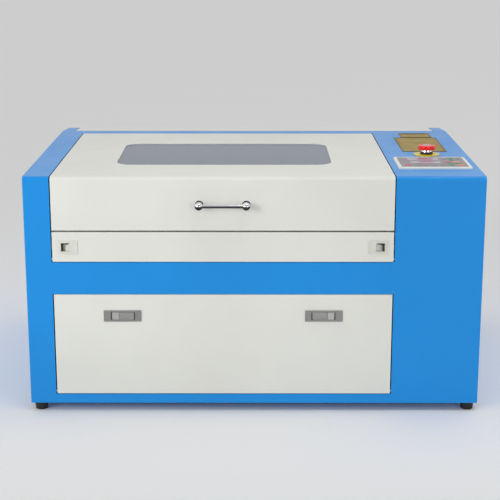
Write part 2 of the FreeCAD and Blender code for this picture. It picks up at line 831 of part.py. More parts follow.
# ---------------------------------------------------------------- lower door
DOOR_Z1 = zz(DOOR_TOP) - SEAM_GAP
door = box(FRONT_X0, FRONT_X1, YF, YF + SHEET, DOOR_Z0, DOOR_Z1)
door = door.fuse(box(FRONT_X0, FRONT_X1, YF, YF + PANEL_RETURN, DOOR_Z1 - SHEET, DOOR_Z1))
for x0 in (FRONT_X0, FRONT_X1 - SHEET):
    door = door.fuse(box(x0, x0 + SHEET, YF, YF + PANEL_RETURN, DOOR_Z0, DOOR_Z1))
for pin in pivot_pins(FRONT_X0, FRONT_X1, DOOR_AXIS_Y, DOOR_AXIS_Z):
    door = door.fuse(pin)
PAD_XC = FRONT_XC - PADDLE_PITCH / 2
PAD_X0 = PAD_XC - PADDLE_W / 2
PAD_X1 = PAD_XC + PADDLE_W / 2
PAD_ZC = zz(PADDLE_Z)
PAD_RIM = 4.0
pad_cut = box(
    PAD_X0 + PAD_RIM - 0.3,
    PAD_X1 - PAD_RIM + 0.3,
    YF - 1,
    YF + 5,
    PAD_ZC - PADDLE_H / 2 + 1.7,
    PAD_ZC + PADDLE_H / 2 - 1.7,
)
door = door.cut(pad_cut).cut(mirror_x(pad_cut, FRONT_XC))
save(door.removeSplitter(), "door_panel")

dish = round_box(
    PAD_X0,
    PAD_X1,
    YF - PADDLE_PLATE_T,
    YF,
    PAD_ZC - PADDLE_H / 2,
    PAD_ZC + PADDLE_H / 2,
    1.0,
    AX_Y,
)
dish = dish.fuse(
    box(
        PAD_X0 + PAD_RIM,
        PAD_X1 - PAD_RIM,
        YF,
        YF + PADDLE_DISH,
        PAD_ZC - PADDLE_H / 2 + 2,
        PAD_ZC + PADDLE_H / 2 - 2,
    )
)
WELL_X0 = PAD_X0 + PADDLE_OUTER_MARGIN
WELL_X1 = PAD_X1 - PADDLE_INNER_MARGIN
WELL_Z0 = PAD_ZC - PADDLE_LEVER_H / 2
WELL_Z1 = PAD_ZC + PADDLE_LEVER_H / 2
WELL_FLOOR = YF + PADDLE_DISH - PADDLE_WALL
dish = dish.cut(box(WELL_X0, WELL_X1, YF - 5, WELL_FLOOR, WELL_Z0, WELL_Z1))
# bridge with two pin holes for the lever, and the hole that its tail goes through
PAD_PIVOT_X = WELL_X1 - 4.0
PAD_PIVOT_Y = YF + 3.2
PAD_PIN_R = 1.5
pivot_pin = cyl(PAD_PIN_R, PADDLE_LEVER_H + 2, V(PAD_PIVOT_X, PAD_PIVOT_Y, WELL_Z0 - 1), AX_Z)
dish = dish.fuse(pivot_pin)
save(Part.makeCompound([dish, mirror_x(dish, FRONT_XC)]), "door_latch_housings")

TRIG_X0 = WELL_X0 + 2.3
TRIG_X1 = TRIG_X0 + PADDLE_TRIGGER
trigger = box(
    TRIG_X0,
    TRIG_X1,
    YF - PADDLE_PLATE_T + 0.2,
    YF + 6.5,
    WELL_Z0 + PADDLE_FIT,
    WELL_Z1 - PADDLE_FIT,
)
trigger = round_edges(
    trigger, 0.8, lambda e: along(e, AX_Z) and abs(e.Vertexes[0].Y - YF + PADDLE_PLATE_T - 0.2) < 1e-6
)
GRIPS = 4
for i in range(GRIPS):
    x = TRIG_X0 + 3.2 + i * 3.0
    trigger = trigger.cut(
        box(x - 0.5, x + 0.5, YF - 5, YF - PADDLE_PLATE_T + 0.8, WELL_Z0 + 2, WELL_Z1 - 2)
    )
save(trigger, "door_trigger_left")
save(mirror_x(trigger, FRONT_XC), "door_trigger_right")

LEVER_X0 = TRIG_X1 + 0.5
lever = box(
    LEVER_X0,
    PAD_PIVOT_X,
    YF - PADDLE_PLATE_T,
    YF + 3.2,
    WELL_Z0 + PADDLE_FIT,
    WELL_Z1 - PADDLE_FIT,
)
lever = lever.fuse(
    cyl(
        3.2,
        PADDLE_LEVER_H - 2 * PADDLE_FIT,
        V(PAD_PIVOT_X, PAD_PIVOT_Y, WELL_Z0 + PADDLE_FIT),
        AX_Z,
    )
)
lever = lever.cut(
    cyl(PAD_PIN_R + 0.08, PADDLE_LEVER_H + 4, V(PAD_PIVOT_X, PAD_PIVOT_Y, WELL_Z0 - 2), AX_Z)
)
# finger hollow behind the free end and a shallow dished face
lever = lever.cut(
    box(LEVER_X0 - 1, LEVER_X0 + 18, YF + 1.2, YF + 9, WELL_Z0 - 1, WELL_Z1 + 1)
)
lever = lever.cut(
    round_box(
        LEVER_X0 + 4,
        PAD_PIVOT_X - 4,
        YF - 5,
        YF - PADDLE_PLATE_T + 0.7,
        WELL_Z0 + 3.5,
        WELL_Z1 - 3.5,
        2.0,
        AX_Y,
    )
)
save(lever.removeSplitter(), "door_paddle_left")
save(mirror_x(lever.removeSplitter(), FRONT_XC), "door_paddle_right")

# ---------------------------------------------------------------- tube bay cover
cover = plate_yz(
    -COVER_HALF,
    COVER_HALF,
    [
        (COVER_Y0, COVER_Z0),
        (YR, ZT_REAR),
        (YR, ZT_REAR - SHEET_V),
        (COVER_Y0, COVER_Z0 - SHEET_V),
    ],
)
cover = cover.fuse(
    box(-COVER_HALF, COVER_HALF, YR - SHEET, YR, ZT_REAR - COVER_LIP, ZT_REAR - SHEET / 2)
)
for x0 in (-COVER_HALF, COVER_HALF - SHEET):
    cover = cover.fuse(
        plate_yz(
            x0,
            x0 + SHEET,
            [
                (COVER_Y0, COVER_Z0),
                (YR - SHEET / 2, ZT_REAR + SHEET / 2 * SLOPE),
                (YR - SHEET / 2, ZT_REAR - COVER_RETURN),
                (COVER_Y0, COVER_Z0 - COVER_RETURN),
            ],
        )
    )
for pin in pivot_pins(-COVER_HALF, COVER_HALF, COVER_AXIS_Y, COVER_AXIS_Z):
    cover = cover.fuse(pin)
save(cover.removeSplitter(), "tube_cover")

# ---------------------------------------------------------------- control deck
bezel = round_box(
    KEYPAD_LEFT,
    KEYPAD_RIGHT,
    yy(KEYPAD_FRONT),
    yy(KEYPAD_REAR),
    ZT,
    ZT + KEYPAD_T,
    6.0,
    AX_Z,
)
bezel = round_edges(
    bezel, 1.5, lambda e: all(abs(v.Z - ZT - KEYPAD_T) < 1e-6 for v in e.Vertexes)
)
bezel = bezel.cut(
    round_box(
        KEYPAD_LEFT + KEYPAD_RIM,
        KEYPAD_RIGHT - KEYPAD_RIM,
        yy(KEYPAD_FRONT) + KEYPAD_RIM + 1.5,
        yy(KEYPAD_REAR) - KEYPAD_RIM + 1.0,
        ZT + KEYPAD_T - MEMBRANE_T,
        ZT + KEYPAD_T + 5,
        3.0,
        AX_Z,
    )
)
bezel = bezel.fuse(
    box(
        KEYPAD_LEFT + PANEL_CUT + 1,
        KEYPAD_RIGHT - PANEL_CUT - 1,
        yy(KEYPAD_FRONT + PANEL_CUT + 1),
        yy(KEYPAD_REAR - PANEL_CUT - 1),
        ZT - KEYPAD_DEPTH,
        ZT + 0.5,
    )
)
save(bezel.removeSplitter(), "keypad_bezel")
membrane = round_box(
    KEYPAD_LEFT + KEYPAD_RIM + 0.3,
    KEYPAD_RIGHT - KEYPAD_RIM - 0.3,
    yy(KEYPAD_FRONT) + KEYPAD_RIM + 1.8,
    yy(KEYPAD_REAR) - KEYPAD_RIM + 0.7,
    ZT + KEYPAD_T - MEMBRANE_T,
    ZT + KEYPAD_T - 0.3,
    3.0,
    AX_Z,
)
save(membrane, "keypad_membrane")

big_label = box(353.0, 459.0, yy(314.5), yy(520.0), ZT, ZT + LABEL_T)
small_label = box(372.0, 450.0, yy(523.0), yy(589.0), ZT, ZT + LABEL_T)
save(Part.makeCompound([big_label, small_label]), "label_plates")

EX = ESTOP_X
EY = yy(ESTOP_Y)
disc = cyl(ESTOP_DISC_R, ESTOP_DISC_T, V(EX, EY, ZT), AX_Z)
disc = disc.cut(cyl(11.2, 10, V(EX, EY, ZT - 2), AX_Z))
save(disc, "estop_plate")
body = fuse(
    [
        cyl(ESTOP_RING_R, ESTOP_RING_TOP - ESTOP_DISC_T, V(EX, EY, ZT + ESTOP_DISC_T), AX_Z),
        cyl(ESTOP_COLLAR_R, ESTOP_COLLAR_TOP - ESTOP_RING_TOP, V(EX, EY, ZT + ESTOP_RING_TOP), AX_Z),
        cyl(11.0, 14, V(EX, EY, ZT + ESTOP_DISC_T - 14), AX_Z),
        box(EX - 20, EX + 20, EY - 15, EY + 15, ZT - 50, ZT - 10),
    ]
)
body = body.cut(cyl(ESTOP_SHAFT_R + ESTOP_FIT, 80, V(EX, EY, ZT - 30), AX_Z))
save(body, "estop_body")
HEAD_Z0 = ZT + ESTOP_COLLAR_TOP - 1.5
STEM_FOOT = ZT - 20.0
STEM_TOP = ZT + ESTOP_COLLAR_TOP + ESTOP_PRESS + 3.0
stem = cyl(ESTOP_SHAFT_R, STEM_TOP - STEM_FOOT, V(EX, EY, STEM_FOOT), AX_Z)
save(stem, "estop_stem")
cap = cyl(ESTOP_HEAD_R, ESTOP_HEAD_H, V(EX, EY, HEAD_Z0), AX_Z)
cap = round_edges(
    cap,
    3.5,
    lambda e: len(e.Vertexes) == 1 and abs(e.Vertexes[0].Z - HEAD_Z0 - ESTOP_HEAD_H) < 1e-6,
)
cap = round_edges(
    cap, 1.0, lambda e: len(e.Vertexes) == 1 and abs(e.Vertexes[0].Z - HEAD_Z0) < 1e-6
)
cap = cap.cut(cyl(ESTOP_SHAFT_R + ESTOP_FIT, STEM_TOP - HEAD_Z0 + 0.2, V(EX, EY, HEAD_Z0), AX_Z))
# hollow that takes the collar over the whole press
HOLLOW_TOP = ZT + ESTOP_COLLAR_TOP + ESTOP_PRESS + 0.5
cap = cap.cut(cyl(ESTOP_COLLAR_R + 0.8, HOLLOW_TOP - HEAD_Z0, V(EX, EY, HEAD_Z0), AX_Z))
arrow = Part.makeCylinder(14.5, 2.0, V(EX, EY, HEAD_Z0 + ESTOP_HEAD_H - 0.5), AX_Z, 60)
arrow = arrow.cut(cyl(12.5, 4.0, V(EX, EY, HEAD_Z0 + ESTOP_HEAD_H - 1), AX_Z))
for i in range(3):
    groove = arrow.copy()
    groove.rotate(V(EX, EY, 0), AX_Z, 120.0 * i)
    cap = cap.cut(groove)
save(cap, "estop_cap")

# ---------------------------------------------------------------- power module and rocker
PY = yy(INLET_Y)
PZ = zz(INLET_Z)
# flush flange let into the wall so that nothing stands beyond the sides
module = box(XR - 40, XR - 0.2, PY - 20.6, PY + 20.6, PZ - 50.6, PZ + 50.6)
socket_z = PZ - 22.0
module = module.cut(
    round_box(
        XR - 22, XR + 5, PY - INLET_W / 2, PY + INLET_W / 2, socket_z - 12, socket_z + 12, 4.0, AX_X
    )
)
for sy in (-1, 0, 1):
    pin = box(XR - 24, XR - 6, PY + sy * 7 - 1, PY + sy * 7 + 1, socket_z - 3, socket_z + 3)
    module = module.fuse(pin)
rocker_z = PZ + 26.0
module = module.cut(
    box(XR - 16, XR + 5, PY - 10, PY + 10, rocker_z - 14, rocker_z + 14)
)
ROCKER_AXIS_X = XR - 7.0
ROCKER_TILT = 8.0
module = module.fuse(cyl(1.5, 22, V(ROCKER_AXIS_X, PY - 11, rocker_z), AX_Y))
save(module.removeSplitter(), "power_module")
rocker = prism(
    [
        V(ROCKER_AXIS_X - 4.0, PY - 9.6, rocker_z - 5.0),
        V(ROCKER_AXIS_X - 4.0, PY - 9.6, rocker_z + 5.0),
        V(ROCKER_AXIS_X + 4.6, PY - 9.6, rocker_z + 12.4),
        V(ROCKER_AXIS_X + 3.4, PY - 9.6, rocker_z),
        V(ROCKER_AXIS_X + 4.6, PY - 9.6, rocker_z - 12.4),
    ],
    V(0, 19.2, 0),
)
rocker = rocker.cut(cyl(1.58, 30, V(ROCKER_AXIS_X, PY - 15, rocker_z), AX_Y))
rocker.rotate(V(ROCKER_AXIS_X, PY, rocker_z), AX_Y, -ROCKER_TILT)
save(rocker, "power_rocker")

# ---------------------------------------------------------------- exhaust fan
FZ = zz(FAN_Z)
spigot = cyl(SPIGOT_R, SPIGOT_LENGTH + 6, V(FAN_X, YR - 6, FZ), AX_Y)
fan_y1 = YR - SHEET
fan = round_box(
    FAN_X - FAN_SIZE / 2,
    FAN_X + FAN_SIZE / 2,
    fan_y1 - FAN_DEPTH,
    fan_y1,
    FZ - FAN_SIZE / 2,
    FZ + FAN_SIZE / 2,
    6.0,
    AX_Y,
)
fan = fan.fuse(spigot)
bore_r = SPIGOT_R - SPIGOT_WALL
duct_length = FAN_DEPTH + SPIGOT_LENGTH + 60
fan = fan.cut(cyl(bore_r, duct_length, V(FAN_X, fan_y1 - FAN_DEPTH - 5, FZ), AX_Y))
HUB_R = 18.0
spider_y0 = fan_y1 - 8.0
spider = cyl(HUB_R, 6, V(FAN_X, spider_y0, FZ), AX_Y)
for i in range(4):
    arm = box(FAN_X - 2.0, FAN_X + 2.0, spider_y0, spider_y0 + 4, FZ, FZ + bore_r + 1)
    arm.rotate(V(FAN_X, 0, FZ), AX_Y, 45.0 + 90.0 * i)
    spider = spider.fuse(arm)
fan = fan.fuse(spider)
fan = fan.fuse(cyl(3.0, 24, V(FAN_X, spider_y0 - 22, FZ), AX_Y))
save(fan.removeSplitter(), "exhaust_fan_housing")
rotor_y1 = spider_y0 - 0.6
ROTOR_D = 24.0
rotor = cyl(HUB_R, ROTOR_D, V(FAN_X, rotor_y1 - ROTOR_D, FZ), AX_Y)
for i in range(BLADES):
    blade = box(FAN_X - 14, FAN_X + 14, -1.0, 1.0, FZ + HUB_R - 2, FZ + bore_r - 1.5)
    blade.rotate(V(FAN_X, 0, FZ), AX_Z, 35.0)
    blade.translate(V(0, rotor_y1 - ROTOR_D / 2, 0))
    blade.rotate(V(FAN_X, 0, FZ), AX_Y, 360.0 / BLADES * i)
    rotor = rotor.fuse(blade)
rotor = rotor.common(
    cyl(bore_r - 1.2, ROTOR_D, V(FAN_X, rotor_y1 - ROTOR_D, FZ), AX_Y)
)
rotor = rotor.cut(cyl(3.08, 60, V(FAN_X, spider_y0 - 22.5, FZ), AX_Y))
save(rotor.removeSplitter(), "fan_rotor")

# ---------------------------------------------------------------- hose fittings
fittings = []
for i in range(3):
    x = FITTING_X + i * FITTING_PITCH
    r = 4.0 if i < 2 else 3.0
    stub = fuse(
        [
            cyl(5.8, 12, V(x, YR - SHEET - 6, zz(FITTING_Z)), AX_Y),
            cyl(9.0, 4, V(x, YR, zz(FITTING_Z)), AX_Y),
            cyl(9.0, 4, V(x, YR - SHEET - 4, zz(FITTING_Z)), AX_Y),
            cyl(r, 24, V(x, YR, zz(FITTING_Z)), AX_Y),
            Part.makeCone(r, r - 0.6, 1.2, V(x, YR + 24, zz(FITTING_Z)), AX_Y),
        ]
    )
    stub = stub.cut(cyl(r - 1.5, 60, V(x, YR - 20, zz(FITTING_Z)), AX_Y))
    fittings.append(stub)
save(Part.makeCompound(fittings), "hose_fittings")

# ---------------------------------------------------------------- laser tube and its clamps
TY = yy(TUBE_Y)
BZ = zz(BEAM_Z)
TUBE_X0 = BEAM_X + 34.0
tube = fuse(
    [
        cyl(TUBE_R, TUBE_LENGTH - 80, V(TUBE_X0 + 40, TY, BZ), AX_X),
        cyl(12.0, TUBE_LENGTH, V(TUBE_X0, TY, BZ), AX_X),
        cyl(15.0, 12, V(TUBE_X0 + 2, TY, BZ), AX_X),
        cyl(15.0, 12, V(TUBE_X0 + TUBE_LENGTH - 14, TY, BZ), AX_X),
        cyl(4.0, TUBE_R + 12, V(TUBE_X0 + 70, TY, BZ), AX_Z),
        cyl(4.0, TUBE_R + 12, V(TUBE_X0 + TUBE_LENGTH - 70, TY, BZ), AX_Z),
    ]
)
save(tube, "laser_tube")
clamps = []
CLAMP_W = 22.0
for x in (TUBE_X0 + 190, TUBE_X0 + TUBE_LENGTH - 190 - CLAMP_W):
    clamp = cyl(TUBE_R + 4, CLAMP_W, V(x, TY, BZ), AX_X)
    clamp = clamp.fuse(box(x, x + CLAMP_W, TY - 24, TY + 24, zz(SHELF_Z) + SHEET, BZ - 12))
    clamp = clamp.fuse(
        box(x, x + CLAMP_W, TY - 36, TY + 36, zz(SHELF_Z) + SHEET, zz(SHELF_Z) + SHEET + 4)
    )
    clamp = clamp.cut(cyl(TUBE_R, CLAMP_W + 2, V(x - 1, TY, BZ), AX_X))
    clamps.append(clamp.removeSplitter())
save(Part.makeCompound(clamps), "tube_mounts")


def mirror_mount(x, y, z, turn, foot_z):
    """Kinematic mirror mount: a 45 degree plate with a mirror cell, three screws and a foot.
    The mirror's face looks along the bisector of the two beam directions."""
    plate = box(-18, 18, 4, 9, -18, 18)
    cell = cyl(12.5, 6, V(0, 0, 0), AX_Y)
    block = plate.fuse(cell)
    for sx, sz in ((-1, 1), (1, 1), (-1, -1)):
        block = block.fuse(cyl(2.5, 12, V(sx * 13, 8, sz * 13), AX_Y))
        block = block.fuse(cyl(4.0, 4, V(sx * 13, 17, sz * 13), AX_Y))
    block = block.fuse(box(-12, 12, 4, 9, foot_z - z, -10))
    block.rotate(V(0, 0, 0), AX_Z, turn)
    block.translate(V(x, y, z))
    return block.removeSplitter()


mirror_1 = mirror_mount(BEAM_X, TY, BZ, 45.0, zz(SHELF_Z) + SHEET)
save(mirror_1, "mirror_1_mount")

# ---------------------------------------------------------------- Y rails, belts and drive
RZ = zz(RAIL_Z)
rails = []
for sx, xc, wall in ((-1, RAIL_LEFT_X, XL + SHEET), (1, RAIL_RIGHT_X, DIVIDER_X)):
    rail = box(xc - RAIL_W / 2, xc + RAIL_W / 2, yy(RAIL_FRONT), yy(RAIL_REAR), RZ, RZ + RAIL_H)
    xa = min(wall, xc - sx * RAIL_W)
    xb = max(wall, xc - sx * RAIL_W)
    shelf = box(xa, xb, yy(RAIL_FRONT), yy(RAIL_REAR), RZ - RAIL_FLANGE_T, RZ)
    lug_a = min(wall, wall - sx * RAIL_FLANGE_T)
    lug = box(
        lug_a, lug_a + RAIL_FLANGE_T, yy(RAIL_FRONT), yy(RAIL_REAR), RZ - 28, RZ - RAIL_FLANGE_T
    )
    rails.append(rail.fuse(shelf).fuse(lug).removeSplitter())
save(Part.makeCompound(rails), "y_rails")

BELT_Z = RZ + 16.0
BELT_FRONT = RAIL_FRONT + 16.0
BELT_REAR = RAIL_REAR + 14.0
BELT_LEFT_X = -484.0
BELT_RIGHT_X = 325.0


def belt_loop(r, width, y0, y1):
    """Closed flat belt around two pulleys, loop in a plane across X, centred on x = 0."""
    outer = fuse(
        [
            cyl(r + BELT_T, width, V(-width / 2, y0, 0), AX_X),
            cyl(r + BELT_T, width, V(-width / 2, y1, 0), AX_X),
            box(-width / 2, width / 2, y0, y1, -r - BELT_T, r + BELT_T),
        ]
    )
    inner = fuse(
        [
            cyl(r, width + 2, V(-width / 2 - 1, y0, 0), AX_X),
            cyl(r, width + 2, V(-width / 2 - 1, y1, 0), AX_X),
            box(-width / 2 - 1, width / 2 + 1, y0, y1, -r, r),
        ]
    )
    return outer.cut(inner).removeSplitter()


def pulley(x, y, z, bore):
    """Flanged timing pulley on an X axis."""
    body = cyl(PULLEY_R, BELT_W + 0.8, V(x - BELT_W / 2 - 0.4, y, z), AX_X)
    for s in (-1, 1):
        x0 = x + s * (BELT_W / 2 + 0.4) - (1.2 if s < 0 else 0.0)
        body = body.fuse(cyl(PULLEY_R + PULLEY_FLANGE, 1.2, V(x0, y, z), AX_X))
    if bore:
        body = body.cut(cyl(bore, BELT_W + 10, V(x - BELT_W / 2 - 5, y, z), AX_X))
    return body.removeSplitter()


y_loop = belt_loop(PULLEY_R + BELT_FIT, BELT_W, yy(BELT_FRONT), yy(BELT_REAR))
y_loops = [y_loop.translated(V(x, 0, BELT_Z)) for x in (BELT_LEFT_X, BELT_RIGHT_X)]
save(Part.makeCompound(y_loops), "y_belts")
shaft_end = 6.0
y_shaft = cyl(
    SHAFT_R,
    BELT_RIGHT_X - BELT_LEFT_X + 2 * shaft_end,
    V(BELT_LEFT_X - shaft_end, yy(BELT_REAR), BELT_Z),
    AX_X,
)
for x in (BELT_LEFT_X, BELT_RIGHT_X):
    y_shaft = y_shaft.fuse(pulley(x, yy(BELT_REAR), BELT_Z, 0))
save(y_shaft.removeSplitter(), "y_drive_shaft")
idlers = [pulley(x, yy(BELT_FRONT), BELT_Z, 2.58) for x in (BELT_LEFT_X, BELT_RIGHT_X)]
save(Part.makeCompound(idlers), "y_idlers")

# brackets at the ends of the rails: idler axles in front, shaft bearings behind
brackets = []
for sx, wall, belt_x in ((-1, XL + SHEET, BELT_LEFT_X), (1, DIVIDER_X, BELT_RIGHT_X)):
    inward = -sx
    a0 = min(wall, wall + inward * 5.0)
    front = box(a0, a0 + 5, yy(BELT_FRONT) - 9, yy(BELT_FRONT) + 9, RZ, BELT_Z + 9)
    axle_x = min(wall, belt_x + inward * 6.0)
    axle_len = abs(wall - (belt_x + inward * 6.0))
    front = front.fuse(cyl(2.5, axle_len, V(axle_x, yy(BELT_FRONT), BELT_Z), AX_X))
    back = box(a0, a0 + 5, yy(RAIL_REAR) - 10, yy(BELT_REAR) + 9, RZ - 28, BELT_Z + 9)
    back = back.cut(cyl(SHAFT_R + RUN_FIT, 20, V(a0 - 8, yy(BELT_REAR), BELT_Z), AX_X))
    brackets.append(front.fuse(back))
rails = [rails[i].fuse(brackets[i]).removeSplitter() for i in (0, 1)]
save(Part.makeCompound(rails), "y_rails")

# the drive shaft runs on through the divider into its motor
Y_MOTOR_X0 = DIVIDER_X + SHEET
shaft_tip = Y_MOTOR_X0 + 12.0
y_shaft = y_shaft.fuse(
    cyl(SHAFT_R, shaft_tip - BELT_RIGHT_X, V(BELT_RIGHT_X, yy(BELT_REAR), BELT_Z), AX_X)
)
save(y_shaft.removeSplitter(), "y_drive_shaft")
divider = divider.cut(cyl(11.5, 40, V(DIVIDER_X - 10, yy(BELT_REAR), BELT_Z), AX_X))
save(divider.removeSplitter(), "chamber_divider")


def stepper(shaft_r):
    """Square motor with its face on z = 0, body below, register boss and a shaft bore."""
    h = MOTOR_SIZE / 2.0
    body = round_box(-h, h, -h, h, -MOTOR_LENGTH, 0.0, 4.0, AX_Z)
    band = round_box(-h - 1, h + 1, -h - 1, h + 1, -MOTOR_LENGTH + 9, -9.0, 4.0, AX_Z)
    core = round_box(-h + 1, h - 1, -h + 1, h - 1, -MOTOR_LENGTH + 8, -8.0, 4.0, AX_Z)
    body = body.cut(band.cut(core))
    body = body.cut(cyl(shaft_r + RUN_FIT, 16.0, V(0, 0, -14.0), AX_Z))
    return body


y_motor = stepper(SHAFT_R)
y_motor.rotate(V(0, 0, 0), AX_Y, -90)
y_motor.translate(V(Y_MOTOR_X0, yy(BELT_REAR), BELT_Z))

SCREW_XS = [TABLE_X - TABLE_WIDTH / 2 - 18.0, TABLE_X + TABLE_WIDTH / 2 + 18.0]
LIFT_Z = ZB + SHEET + MOTOR_LENGTH
motors = [y_motor]
for x in SCREW_XS:
    lift_motor = stepper(SCREW_R - 2.0)
    lift_motor.translate(V(x, yy(TABLE_Y), LIFT_Z))
    motors.append(lift_motor)
save(Part.makeCompound(motors), "stepper_motors")

SCREW_FIT = 0.08
for x, name in ((SCREW_XS[0], "lift_screw_left"), (SCREW_XS[1], "lift_screw_right")):
    screw = cyl(SCREW_R, zz(SCREW_TOP) - LIFT_Z - 1.0, V(x, yy(TABLE_Y), LIFT_Z + 1.0), AX_Z)
    screw = screw.fuse(cyl(SCREW_R - 2.0, 14.0, V(x, yy(TABLE_Y), LIFT_Z - 12.0), AX_Z))
    screw = screw.fuse(cyl(SCREW_R + 3.0, 8.0, V(x, yy(TABLE_Y), LIFT_Z + 1.0), AX_Z))
    save(screw.removeSplitter(), name)

# ---------------------------------------------------------------- lift table
TX0 = TABLE_X - TABLE_WIDTH / 2
TX1 = TABLE_X + TABLE_WIDTH / 2
TY0 = yy(TABLE_Y) - TABLE_LENGTH / 2
TY1 = yy(TABLE_Y) + TABLE_LENGTH / 2
TZ1 = zz(TABLE_TOP)
FRAME_H = 20.0
frame = box(TX0, TX1, TY0, TY1, TZ1 - FRAME_H, TZ1)
frame = frame.cut(
    box(
        TX0 + TABLE_FRAME,
        TX1 - TABLE_FRAME,
        TY0 + TABLE_FRAME,
        TY1 - TABLE_FRAME,
        TZ1 - BED_T,
        TZ1 + 1,
    )
)
LEDGE = 8.0
frame = frame.cut(
    box(
        TX0 + TABLE_FRAME + LEDGE,
        TX1 - TABLE_FRAME - LEDGE,
        TY0 + TABLE_FRAME + LEDGE,
        TY1 - TABLE_FRAME - LEDGE,
        TZ1 - 40,
        TZ1 + 1,
    )
)
for sx, x in ((-1, SCREW_XS[0]), (1, SCREW_XS[1])):
    xa = min(x + sx * 14.0, x - sx * 18.0)
    frame = frame.fuse(box(xa, xa + 32.0, yy(TABLE_Y) - 25, yy(TABLE_Y) + 25, TZ1 - FRAME_H, TZ1 - 8))
    frame = frame.fuse(cyl(11.0, 18.0, V(x, yy(TABLE_Y), TZ1 - FRAME_H - 8), AX_Z))
for x in SCREW_XS:
    frame = frame.cut(cyl(SCREW_R + SCREW_FIT, 80, V(x, yy(TABLE_Y), TZ1 - 60), AX_Z))
save(frame.removeSplitter(), "table_frame")
BED_GAP = 0.5
bed = box(
    TX0 + TABLE_FRAME + BED_GAP,
    TX1 - TABLE_FRAME - BED_GAP,
    TY0 + TABLE_FRAME + BED_GAP,
    TY1 - TABLE_FRAME - BED_GAP,
    TZ1 - BED_T,
    TZ1,
)
save(bed, "honeycomb_bed")

# ---------------------------------------------------------------- gantry at home, at the rear
GY = yy(GANTRY_HOME_Y)
OPTIC_Y = GY - 46.0
TRUCK_RISE = 8.0
TRUCK_TOP = RZ + RAIL_H + TRUCK_RISE
BEAM_Z0 = TRUCK_TOP
BEAM_Z1 = BEAM_Z0 + BEAM_H
TRUCK_HALF = 12.0
BEAM_X0 = RAIL_LEFT_X - TRUCK_HALF
BEAM_X1 = RAIL_RIGHT_X + TRUCK_HALF
gantry_parts = [box(BEAM_X0, BEAM_X1, GY - BEAM_W / 2, GY + BEAM_W / 2, BEAM_Z0, BEAM_Z1)]
TRUCK_LENGTH = 70.0
for xc in (RAIL_LEFT_X, RAIL_RIGHT_X):
    truck = box(
        xc - TRUCK_HALF,
        xc + TRUCK_HALF,
        GY - TRUCK_LENGTH / 2,
        GY + TRUCK_LENGTH / 2,
        RZ + 3.0,
        TRUCK_TOP,
    )
    channel = box(
        xc - RAIL_W / 2 - RUN_FIT,
        xc + RAIL_W / 2 + RUN_FIT,
        GY - TRUCK_LENGTH,
        GY + TRUCK_LENGTH,
        RZ,
        RZ + RAIL_H + RUN_FIT,
    )
    gantry_parts.append(truck.cut(channel))
X_RAIL_H = 8.0
gantry_parts.append(
    box(
        BEAM_X0 + 20,
        BEAM_X1 - 50,
        GY - RAIL_W / 2,
        GY + RAIL_W / 2,
        BEAM_Z1,
        BEAM_Z1 + X_RAIL_H,
    )
)
# end plates over the belts, and the seat of the second mirror
CLAMP_GAP = 0.3
CLAMP_Z0 = BELT_Z + PULLEY_R + BELT_FIT + BELT_T + CLAMP_GAP
PLATE_T = 3.0
left_plate_x0 = BELT_LEFT_X - BELT_W / 2
gantry_parts.append(
    box(left_plate_x0, BEAM_X0 + 15, GY - 62, GY + 20, BEAM_Z1, BEAM_Z1 + PLATE_T)
)
gantry_parts.append(
    box(left_plate_x0, left_plate_x0 + BELT_W, GY - 15, GY + 15, CLAMP_Z0, BEAM_Z1)
)
right_plate_x1 = BELT_RIGHT_X + BELT_W / 2
gantry_parts.append(
    box(BEAM_X1 - 12, right_plate_x1, GY - 15, GY + 15, BEAM_Z1, BEAM_Z1 + PLATE_T)
)
gantry_parts.append(
    box(right_plate_x1 - BELT_W, right_plate_x1, GY - 15, GY + 15, CLAMP_Z0, BEAM_Z1)
)
# X drive: motor bridge at the right, idler axle at the left, both behind the beam
X_BELT_Y = GY + BEAM_W / 2 + 6.5
X_BELT_Z = BEAM_Z0 + BEAM_H / 2
X_DRIVE_X = 240.0
X_IDLER_X = -420.0
X_MOTOR_Y0 = X_BELT_Y + 8.0
BRIDGE_Z0 = X_BELT_Z + PULLEY_R + PULLEY_FLANGE + DRIVE_CLEAR
BRIDGE_Z1 = BRIDGE_Z0 + PLATE_T
gantry_parts.append(
    box(X_DRIVE_X - 18, X_DRIVE_X + 18, GY - 20, GY + 20, BEAM_Z1, BRIDGE_Z1)
)
gantry_parts.append(
    box(X_DRIVE_X - 18, X_DRIVE_X + 18, GY + 19, X_MOTOR_Y0, BRIDGE_Z0, BRIDGE_Z1)
)
mount = box(
    X_DRIVE_X - 21, X_DRIVE_X + 21, X_MOTOR_Y0 - 2.5, X_MOTOR_Y0, X_BELT_Z - 21, BRIDGE_Z1
)
mount = mount.cut(cyl(8.0, 20, V(X_DRIVE_X, X_MOTOR_Y0 - 10, X_BELT_Z), AX_Y))
gantry_parts.append(mount)
gantry_parts.append(
    cyl(2.5, 11.0, V(X_IDLER_X, GY + BEAM_W / 2 - 0.5, X_BELT_Z), AX_Y)
)
gantry = fuse(gantry_parts)
save(gantry, "x_gantry")


def turn_to_y(shape, x, y, z):
    """Stands an X-axis shape drawn about the origin on a Y axis at this place."""
    shape = shape.copy()
    shape.rotate(V(0, 0, 0), AX_Z, 90)
    shape.translate(V(x, y, z))
    return shape


